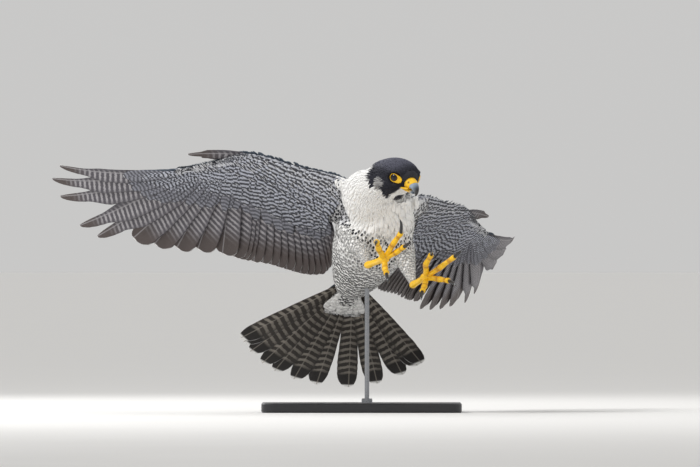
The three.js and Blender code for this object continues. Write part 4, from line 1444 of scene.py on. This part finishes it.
def plain_material(name, colour_value, roughness, metallic=0.0, grain=60.0, depth=0.05, coat=0.0, vary=0.8):
    """A surface with a fine grain and slightly uneven colour."""
    material, nodes, shader = new_material(name)
    where = nodes.add("ShaderNodeTexCoord").outputs["Object"]
    uneven = nodes.noise(where, grain, 3.0)
    dark = tuple(c * vary for c in colour_value[:3])
    nodes.put(nodes.mix(uneven, dark, colour_value), shader["Base Color"])
    rough = nodes.add(
        "ShaderNodeMapRange", i0=uneven, i1=0.3, i2=0.7, i3=roughness * 0.85, i4=roughness * 1.15)
    nodes.put(rough.outputs[0], shader["Roughness"])
    nodes.put(metallic, shader["Metallic"])
    nodes.put(coat, shader["Coat Weight"])
    nodes.put(bumped(nodes, uneven, depth * MM, 0.6), shader["Normal"])
    return material


def eye_material(colours):
    """A dark iris round a black pupil under a wet, clear front."""
    material, nodes, shader = new_material("eye")
    gaze = nodes.attribute("place").outputs["Vector"]
    away, turn, _ = nodes.split(gaze)
    pupil = nodes.math("SUBTRACT", 1.0, nodes.step(away, 0.42, 0.46))
    rays = nodes.noise(nodes.join(nodes.math("MULTIPLY", turn, 6.0), away), 3.0)
    iris = nodes.mix(rays, colours.iris, tuple(c * 2.2 for c in colours.iris))
    nodes.put(nodes.mix(pupil, iris, (0.002, 0.002, 0.003)), shader["Base Color"])
    nodes.put(0.12, shader["Roughness"])
    nodes.put(0.3, shader["Specular IOR Level"])
    nodes.put(0.25, shader["Coat Weight"])
    nodes.put(0.02, shader["Coat Roughness"])
    return material


def attribute_material(name, colours_from, roughness, coat=0.0, grain=500.0, depth=0.06):
    """A bare surface whose colour is written on it point by point, such as skin, bill and claws."""
    material, nodes, shader = new_material(name)
    tint = nodes.attribute("tint").outputs["Color"]
    where = nodes.add("ShaderNodeTexCoord").outputs["Object"]
    uneven = nodes.noise(where, grain, 3.0)
    dark = nodes.math("MULTIPLY", nodes.step(uneven, 0.45, 0.75), 0.35)
    nodes.put(nodes.mix(dark, tint, tuple(c * 0.45 for c in colours_from)), shader["Base Color"])
    nodes.put(roughness, shader["Roughness"])
    nodes.put(coat, shader["Coat Weight"])
    nodes.put(bumped(nodes, uneven, depth * MM, 0.7), shader["Normal"])
    return material


def materials():
    """Every material of the bird and its stand, by name."""
    sizes, colours = settings()
    groups = {"barbs": barb_group(), "bars": bars_group()}
    spacing = millimetres(sizes.bar_spacing)
    return {
        "coat": coat_material("small_feathers", groups, colours, spacing),
        "covert": coat_material("covert_feathers", groups, colours, millimetres(sizes.covert_bar_spacing)),
        "quill": quill_material(
            "flight_feathers", groups, colours, colours.quill, colours.quill_tip, colours.quill_bar, 9.2, 1.3,
            (22, 62), 0.12),
        "tail": quill_material(
            "tail_feathers", groups, colours, colours.tail, colours.tail_end, colours.tail_bar, 11.0, 4.4,
            (20, 30), 0.6),
        "bare": attribute_material("bare_skin", colours.skin, 0.42, coat=0.15),
        "horn": attribute_material("horn", colours.claw, 0.22, coat=0.5, grain=250.0, depth=0.02),
        "eye": eye_material(colours),
        "steel": plain_material("stand_steel", (0.34, 0.35, 0.37), 0.3, 1.0, 900.0, 0.01),
        "base": plain_material("stand_paint", (0.012, 0.012, 0.014), 0.4, 0.0, 700.0, 0.03, coat=0.2),
    }


def tinted(piece, values):
    """Writes one colour, or one for each point, on a bare piece."""
    count = len(piece.data.vertices)
    values = np.asarray(values, float)
    if values.ndim == 1:
        values = np.repeat(values[None], count, 0)
    write_attribute(piece.data, "tint", np.concatenate([values[:, :3], np.ones((count, 1))], axis=1))
    return piece


# Head
def build_eye(name, material):
    """An eyeball with a slightly raised clear front."""
    side = WINGS[name]["side"]
    centre, gaze = eye_axis(side)
    east = unit(np.cross(gaze, HEAD_AXES.up))
    north = np.cross(gaze, east)
    polar = np.linspace(0.02, math.pi - 0.02, 32)[:, None]
    turn = np.arange(48) * 2 * math.pi / 48
    radius = EYE["radius"] * (1 + 0.03 * np.exp(-(polar / 0.55) ** 2))
    ring = (
        centre + gaze * (radius * np.cos(polar) + turn * 0)[..., None]
        + east * (radius * np.sin(polar) * np.cos(turn))[..., None]
        + north * (radius * np.sin(polar) * np.sin(turn))[..., None]
    )
    piece = tubes("eyeball_" + name, [ring])
    place = np.stack([polar + turn * 0, np.cos(turn) + polar * 0, polar * 0 + turn * 0], axis=-1)
    write_attribute(piece.data, "place", place.reshape(-1, 3))
    return finish_piece(facing_out(piece), material, ["eye_" + name])


def build_eye_ring(name, skin_colour, material):
    """The bare yellow lids round an eye, broadest in front of it."""
    side = WINGS[name]["side"]
    centre, gaze = eye_axis(side)
    front = unit(HEAD_AXES.forward - gaze * (HEAD_AXES.forward @ gaze))
    top = unit(HEAD_AXES.up - gaze * (HEAD_AXES.up @ gaze) - front * (HEAD_AXES.up @ front))
    turn = np.arange(56) * 2 * math.pi / 56
    ahead = np.cos(turn)
    above = np.sin(turn)
    inner = 5.3 - 1.1 * np.maximum(0, above)
    wide = 1.1 + 3.6 * np.maximum(0, ahead - 0.35 * above) ** 4 - 0.5 * np.maximum(0, above)
    section = np.arange(12) * 2 * math.pi / 12
    rows = []
    for theta, a, b, r0, w in zip(turn, ahead, above, inner, wide):
        radius = r0 + w / 2 + w / 2 * np.cos(section)
        ball = np.sqrt(np.maximum(EYE["radius"] ** 2 - np.minimum(radius, 6.6) ** 2, 4))
        ball = ball + 0.34 * np.minimum(0, 6.6 - radius)
        wrinkle = 0.12 * math.sin(theta * 19)
        out = ball + 0.45 + wrinkle + 0.6 * np.sin(section)
        direction = front * a + top * b
        rows.append(centre + direction * radius[:, None] + gaze * out[:, None])
    rings = np.array(rows)
    closed = np.concatenate([rings, rings[:1]])
    piece = facing_out(tubes("eye_ring_" + name, [closed]))
    tinted(piece, skin_colour)
    return finish_piece(piece, material)


def bill_limb(rows):
    stations = [(HEAD_AXES.point(f, 0, u), [half, tall, tall]) for f, u, half, tall in rows]
    return Limb(stations, HEAD_AXES.right)


def build_bill(colours, horn_material, bare_material):
    """The hooked upper bill with its cere, and the lower bill."""
    upper = bill_limb(UPPER_BILL)
    grid = upper.grid(12, 36)
    share = np.linspace(0, 1, len(grid))[:, None]
    turn = np.arange(36) * 2 * math.pi / 36
    # The tooth on the cutting edge
    _, _, up = upper.frame(np.linspace(0, upper.last, len(grid)))
    at_edge = np.exp(-((np.abs(np.cos(turn)) - 0.75) / 0.28) ** 2)
    tooth = 1.5 * np.exp(-((share - 0.74) / 0.035) ** 2) * at_edge
    grid = grid - up[:, None] * (tooth * (np.sin(turn) < 0))[..., None]
    horn = facing_out(tubes("bill_horn", [grid]))
    forward, _, upward = HEAD_AXES.local(mesh_points(horn.data))
    grey, tip, yellow = [np.array(c) for c in (colours.horn, colours.claw, colours.skin)]
    dark = ramp(forward - upward * 0.35, 34, 43)[:, None]
    tint = grey * 1.15 * (1 - dark) + tip * dark
    tinted(horn, tint)
    finish_piece(horn, horn_material, ["bill_upper"])
    cere_t = np.linspace(0, 2.8, 28)
    angle = np.arange(40) * 2 * math.pi / 40
    edge = 1 + 0.10 * np.sin(angle)
    t = cere_t[:, None] * edge
    swell = 0.1 + 1.5 * (1 - np.linspace(0, 1, 28)[:, None]) ** 0.8
    cere = upper.surface(t, angle + t * 0, swell)
    nostril = [HEAD_AXES.point(28.6, side * 8.2, 0.4) for side in (1, -1)]
    hollow_shade = np.zeros(cere.shape[:2])
    for hole in nostril:
        away = cere - hole
        far = np.linalg.norm(away, axis=-1)
        push = 0.45 * np.exp(-(far / 1.35) ** 4) - 0.35 * np.exp(-((far - 2.1) / 0.6) ** 2)
        hollow_shade += np.exp(-(far / 1.7) ** 4)
        cere = cere + unit(upper.centre(t) - cere) * push[..., None]
    piece = facing_out(tubes("cere", [cere]))
    # The yellow darkens to near black inside each nostril: painted shade of the hole
    tinted(piece, yellow * (1 - 0.95 * np.clip(hollow_shade, 0, 1)).reshape(-1, 1))
    finish_piece(piece, bare_material)
    lower = facing_out(tubes("bill_lower_horn", [bill_limb(LOWER_BILL).grid(10, 28)]))
    forward, _, _ = HEAD_AXES.local(mesh_points(lower.data))
    dark = ramp(forward, 30, 36)[:, None]
    horny = ramp(forward, 27, 32)[:, None]
    tinted(lower, yellow * 0.85 * (1 - horny) + (grey * (1 - dark) + tip * dark) * horny)
    finish_piece(lower, horn_material, ["bill_lower"])
    for side, name in ((1, "right"), (-1, "left")):
        line = Limb([
            (HEAD_AXES.point(27.5, side * 5.6, -8), [1.1, 1, 1]),
            (HEAD_AXES.point(24.4, side * 8, -8.4), [1.3, 1.2, 1.2]),
            (HEAD_AXES.point(21.6, side * 10.6, -8.6), [1.1, 1, 1]),
            (HEAD_AXES.point(19.6, side * 12.4, -8.8), [0.5, 0.4, 0.4]),
        ], HEAD_AXES.up)
        gape = facing_out(tubes("gape_" + name, [line.grid(6, 14)]))
        tinted(gape, yellow)
        finish_piece(gape, bare_material)


# Feet
def build_leg(name, colours, bare_material, horn_material):
    """The tarsus and toes of a foot with their scutes and pads, and its claws."""
    leg = LEGS[name]
    ankle, palm = np.array(leg["shank"][-1][:3], float), np.array(leg["palm"], float)
    sole = unit(palm - ankle)
    yellow, claw_colour = np.array(colours.skin), np.array(colours.claw)
    r = TARSUS_RADIUS
    reach = palm - ankle
    tarsus = Limb([
        (ankle + reach * t, [r * w, r * h, r * h])
        for t, w, h in (
            (-0.13, 0.35, 0.35), (-0.1, 0.9, 0.9), (0, 1.15, 1.15), (0.3, 0.95, 0.95), (0.7, 1, 1),
            (0.96, 1.7, 1.35), (1.06, 1.5, 1.2), (1.12, 0.5, 0.5))
    ], BODY_AXES.right)
    grid = scaled(tarsus, tarsus.grid(22, 32), BODY_AXES.up, 2.6, 0.28)
    scutes = tinted(facing_out(tubes("tarsus_scales_" + name, [grid])), yellow)
    finish_piece(scutes, bare_material, ["tarsus_" + name])
    for i, (middle, end, tip) in enumerate(leg["toes"]):
        middle, end, tip = [np.array(v, float) for v in (middle, end, tip)]
        r = TOE_RADIUS
        stations = [
            (palm + (middle - palm) * 0.1, 1.2), (palm + (middle - palm) * 0.55, 1.0), (middle, 1.2),
            (middle + (end - middle) * 0.5, 0.95), (end - unit(end - middle) * 1.5, 1.1), (end, 0.8),
        ]
        limb = Limb([(point, [r * size] * 3) for point, size in stations], np.cross(sole, unit(end - palm)))
        grid = padded_toe(limb, scaled(limb, limb.grid(16, 28), -sole, 2.4, 0.34), sole)
        toe = tint_with_crease_shade(facing_out(tubes(f"toe_scales_{name}_{i + 1}", [grid])), limb, yellow)
        finish_piece(toe, bare_material, [f"toe_{name}_{i + 1}"])
        along = unit(end - middle)
        bow = (end + tip) / 2 + along * 2.5
        claw = Limb([
            (end - along * 1.5, [2.4] * 3), (end + (bow - end) * 0.55, [2.2] * 3),
            (bow + (tip - bow) * 0.1, [1.75] * 3), (bow + (tip - bow) * 0.6, [1.0] * 3), (tip, [0.2] * 3),
        ], BODY_AXES.right)
        piece = tinted(facing_out(tubes(f"talon_{name}_{i + 1}", [claw.grid(6, 18)])), claw_colour)
        finish_piece(piece, horn_material, [f"claw_{name}_{i + 1}"])


def scaled(limb, grid, facing, pitch, depth):
    """Raises overlapping scutes across the side of a limb that looks one way."""
    t = np.linspace(0, limb.last, len(grid))
    middle = limb.centre(t)
    gone = np.concatenate([[0], np.cumsum(np.linalg.norm(np.diff(middle, axis=0), axis=1))])
    outward = unit(grid - middle[:, None])
    front = ramp((outward @ unit(facing)), -0.1, 0.45)
    saw = (gone / pitch) % 1.0
    plate = np.sin(np.clip(saw, 0, 1) * math.pi) ** 0.5
    turn = np.arange(grid.shape[1]) * 2 * math.pi / grid.shape[1]
    pebble = np.abs(np.sin(turn * 7))[None] * np.abs(np.sin(gone * 2 * math.pi / 3.4))[:, None]
    rise = depth * (plate[:, None] * front + 0.7 * pebble * (1 - front))
    return grid + outward * rise[..., None]


def tint_with_crease_shade(piece, limb, yellow):
    """Tints a toe, browner in the creases between its pads and round its root: painted shade, with a little
    uneven tone all over.
    """
    points = mesh_points(piece.data)
    line = limb.centre(np.linspace(0, limb.last, 60))
    gaps = np.linalg.norm(points[:, None] - line[None], axis=2)
    t = gaps.argmin(1) / 59
    # Painted shade in the creases at the joints between the pads and round the toe's root
    hollow_shade = sum(np.exp(-((t - centre) / 0.05) ** 2) for centre in (0.02, 0.36, 0.66))
    share = np.clip(0.65 * hollow_shade + 0.25 * waver(points, 1.3), 0, 0.8)[:, None]
    return tinted(piece, yellow * (1 - share) + np.array(TOE_CREASE_SHADE) * share)


def padded_toe(limb, grid, sole):
    """Swells the pads under the joints of a toe."""
    t = np.linspace(0, limb.last, len(grid)) / limb.last
    middle = limb.centre(t * limb.last)
    outward = unit(grid - middle[:, None])
    under = ramp(outward @ sole, 0.2, 0.8)
    pads = sum(np.exp(-((t - centre) / 0.09) ** 2) for centre in (0.22, 0.5, 0.8))
    return grid + outward * (1.5 * under * pads[:, None])[..., None]


# Operators
class FALCON_OT_skin(bpy.types.Operator):
    """Build the one skin under the plumage"""

    bl_idname = "falcon.skin"
    bl_label = "Skin"
    bl_options = {"REGISTER", "UNDO"}

    def execute(self, context):
        sizes, colours = settings()
        skin = build_skin(sizes)
        points = mesh_points(skin.data)
        found = regions()
        labels = np.array([region.name for region in found])
        _, which = lie_of_plumage(points, found)
        base, marks = coat_marks(points, labels[which], colours)
        dark = np.array(colours.bar)
        share = 0.45 * marks[:, :1]
        base = base * (1 - share) + dark * share
        write_attribute(skin.data, "tint", np.concatenate([base, np.ones((len(points), 1))], axis=1))
        material = attribute_material("skin_under_feathers", colours.hood, 0.85, 0.0, 300.0, 0.2)
        finish_piece(skin, material, ["torso", "neck", "head", "thigh_right", "thigh_left"])
        return {"FINISHED"}


class FALCON_OT_coat(bpy.types.Operator):
    """Lay the small feathers over the skin"""

    bl_idname = "falcon.coat"
    bl_label = "Body feathers"
    bl_options = {"REGISTER", "UNDO"}

    def execute(self, context):
        sizes, colours = settings()
        skin = bpy.data.objects["skin"]
        build_coats(skin, sizes, colours, MATERIALS["coat"])
        return {"FINISHED"}


class FALCON_OT_wings(bpy.types.Operator):
    """Build the flight feathers and coverts of both wings"""

    bl_idname = "falcon.wings"
    bl_label = "Wings"
    bl_options = {"REGISTER", "UNDO"}

    def execute(self, context):
        sizes, colours = settings()
        draw = np.random.default_rng(sizes.seed + 1)
        for name in WINGS:
            plane = WingPlane(name)
            pieces = flight_feathers(plane, colours, MATERIALS["quill"], draw)
            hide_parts("wing_" + name)
            for under in (True, False):
                wing_coverts(plane, under, colours, MATERIALS["covert"], draw)
        return {"FINISHED"}


class FALCON_OT_tail(bpy.types.Operator):
    """Build the fanned tail"""

    bl_idname = "falcon.tail"
    bl_label = "Tail"
    bl_options = {"REGISTER", "UNDO"}

    def execute(self, context):
        sizes, colours = settings()
        draw = np.random.default_rng(sizes.seed + 2)
        tail_feathers(colours, MATERIALS["tail"], draw)
        tail_coverts("undertail_coverts", colours.white, 0.2, MATERIALS["covert"], draw)
        tail_coverts("uppertail_coverts", colours.slate, 0.6, MATERIALS["covert"], draw)
        return {"FINISHED"}


class FALCON_OT_head(bpy.types.Operator):
    """Build the eyes, their lids, the cere and the bill"""

    bl_idname = "falcon.head"
    bl_label = "Head"
    bl_options = {"REGISTER", "UNDO"}

    def execute(self, context):
        _, colours = settings()
        for name in WINGS:
            build_eye(name, MATERIALS["eye"])
            build_eye_ring(name, np.array(colours.skin), MATERIALS["bare"])
        build_bill(colours, MATERIALS["horn"], MATERIALS["bare"])
        return {"FINISHED"}


class FALCON_OT_feet(bpy.types.Operator):
    """Build both feet and their claws"""

    bl_idname = "falcon.feet"
    bl_label = "Feet"
    bl_options = {"REGISTER", "UNDO"}

    def execute(self, context):
        _, colours = settings()
        for name in LEGS:
            build_leg(name, colours, MATERIALS["bare"], MATERIALS["horn"])
        return {"FINISHED"}


class FALCON_OT_stand(bpy.types.Operator):
    """Finish the display stand"""

    bl_idname = "falcon.stand"
    bl_label = "Stand"
    bl_options = {"REGISTER", "UNDO"}

    def execute(self, context):
        for node, material, slot in (
                ("stand_base", "base", "stand_paint"), ("stand_rod", "steel", "stand_metal")):
            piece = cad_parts[node]
            piece.data.materials.clear()
            piece.data.materials.append(MATERIALS[material])
        return {"FINISHED"}


class FALCON_OT_stage(bpy.types.Operator):
    """Set up the floor, the soft lights and the camera"""

    bl_idname = "falcon.stage"
    bl_label = "Stage"
    bl_options = {"REGISTER", "UNDO"}

    def execute(self, context):
        _, colours = settings()
        build_floor(colours)
        build_sky()
        build_lights()
        build_camera()
        return {"FINISHED"}


def build_floor(colours):
    radius = 90.0
    turn = np.arange(96) * 2 * math.pi / 96
    points = np.stack([np.cos(turn) * radius, np.sin(turn) * radius, np.full(96, -0.0004)], axis=1)
    floor = make_object("floor", points / MM + STAND_CENTRE, np.arange(96), [96])
    floor.data.materials.append(plain_material("studio_floor", colours.floor, 0.8, 0.0, 4.0, 0.0, vary=0.99))


def area_light(name, place, aim, size, power):
    data = bpy.data.lights.new(name, "AREA")
    data.shape = "DISK"
    data.size = size
    data.energy = power
    light = bpy.data.objects.new(name, data)
    light.location = place
    light.rotation_euler = (Vector(aim) - Vector(place)).to_track_quat("-Z", "Y").to_euler()
    bpy.context.scene.collection.objects.link(light)


def build_sky():
    """A pale studio, brightest overhead, that meets the lit floor without an edge."""
    world = bpy.data.worlds.new("studio")
    bpy.context.scene.world = world
    world.use_nodes = True
    nodes = Nodes(world.node_tree)
    height = nodes.split(nodes.add("ShaderNodeTexCoord").outputs["Generated"])[2]
    glow = nodes.add("ShaderNodeMapRange", i0=height, i1=0.0, i2=1.0, i3=SKY["horizon"], i4=SKY["zenith"])
    sky = world.node_tree.nodes["Background"]
    sky.inputs[0].default_value = (*SKY["colour"], 1)
    nodes.put(glow.outputs[0], sky.inputs[1])


def build_lights():
    bpy.context.scene.view_settings.view_transform = "Standard"
    for name, place, size, power in LIGHTS:
        area_light(name, place, (0, 0, 0.22), size, power)


def build_camera():
    data = bpy.data.cameras.new("camera")
    data.sensor_width = VIEW["sensor"]
    data.lens = VIEW["sensor"] * VIEW["distance"] / VIEW["width"]
    data.clip_start, data.clip_end = 1.0, 400.0
    camera = bpy.data.objects.new("camera", data)
    centre = (np.array(VIEW["centre"], float) - STAND_CENTRE) * MM
    camera.location = centre + np.array([0, -VIEW["distance"] * MM + STAND_CENTRE[1] * MM, 0])
    camera.rotation_euler = (math.pi / 2, 0, 0)
    bpy.context.scene.collection.objects.link(camera)
    bpy.context.scene.camera = camera


class FALCON_PT_panel(bpy.types.Panel):
    bl_label = "Peregrine falcon"
    bl_idname = "FALCON_PT_panel"
    bl_space_type = "VIEW_3D"
    bl_region_type = "UI"
    bl_category = "Falcon"

    def draw(self, context):
        for operator in OPERATORS:
            self.layout.operator(operator.bl_idname)
        for group in (context.scene.falcon_sizes, context.scene.falcon_colours):
            for key in group.__annotations__:
                self.layout.prop(group, key)


OPERATORS = (
    FALCON_OT_skin, FALCON_OT_coat, FALCON_OT_wings, FALCON_OT_tail, FALCON_OT_head, FALCON_OT_feet,
    FALCON_OT_stand, FALCON_OT_stage,
)
CLASSES = (FalconSizes, FalconColours, *OPERATORS, FALCON_PT_panel)
MATERIALS = {}


def register():
    for item in CLASSES:
        bpy.utils.register_class(item)
    bpy.types.Scene.falcon_sizes = bpy.props.PointerProperty(type=FalconSizes)
    bpy.types.Scene.falcon_colours = bpy.props.PointerProperty(type=FalconColours)


def unregister():
    del bpy.types.Scene.falcon_sizes
    del bpy.types.Scene.falcon_colours
    for item in reversed(CLASSES):
        bpy.utils.unregister_class(item)


def main():
    register()
    MATERIALS.update(materials())
    bpy.ops.falcon.skin()
    bpy.ops.falcon.coat()
    bpy.ops.falcon.wings()
    bpy.ops.falcon.tail()
    bpy.ops.falcon.head()
    bpy.ops.falcon.feet()
    bpy.ops.falcon.stand()
    bpy.ops.falcon.stage()


if __name__ == "__main__":
    main()
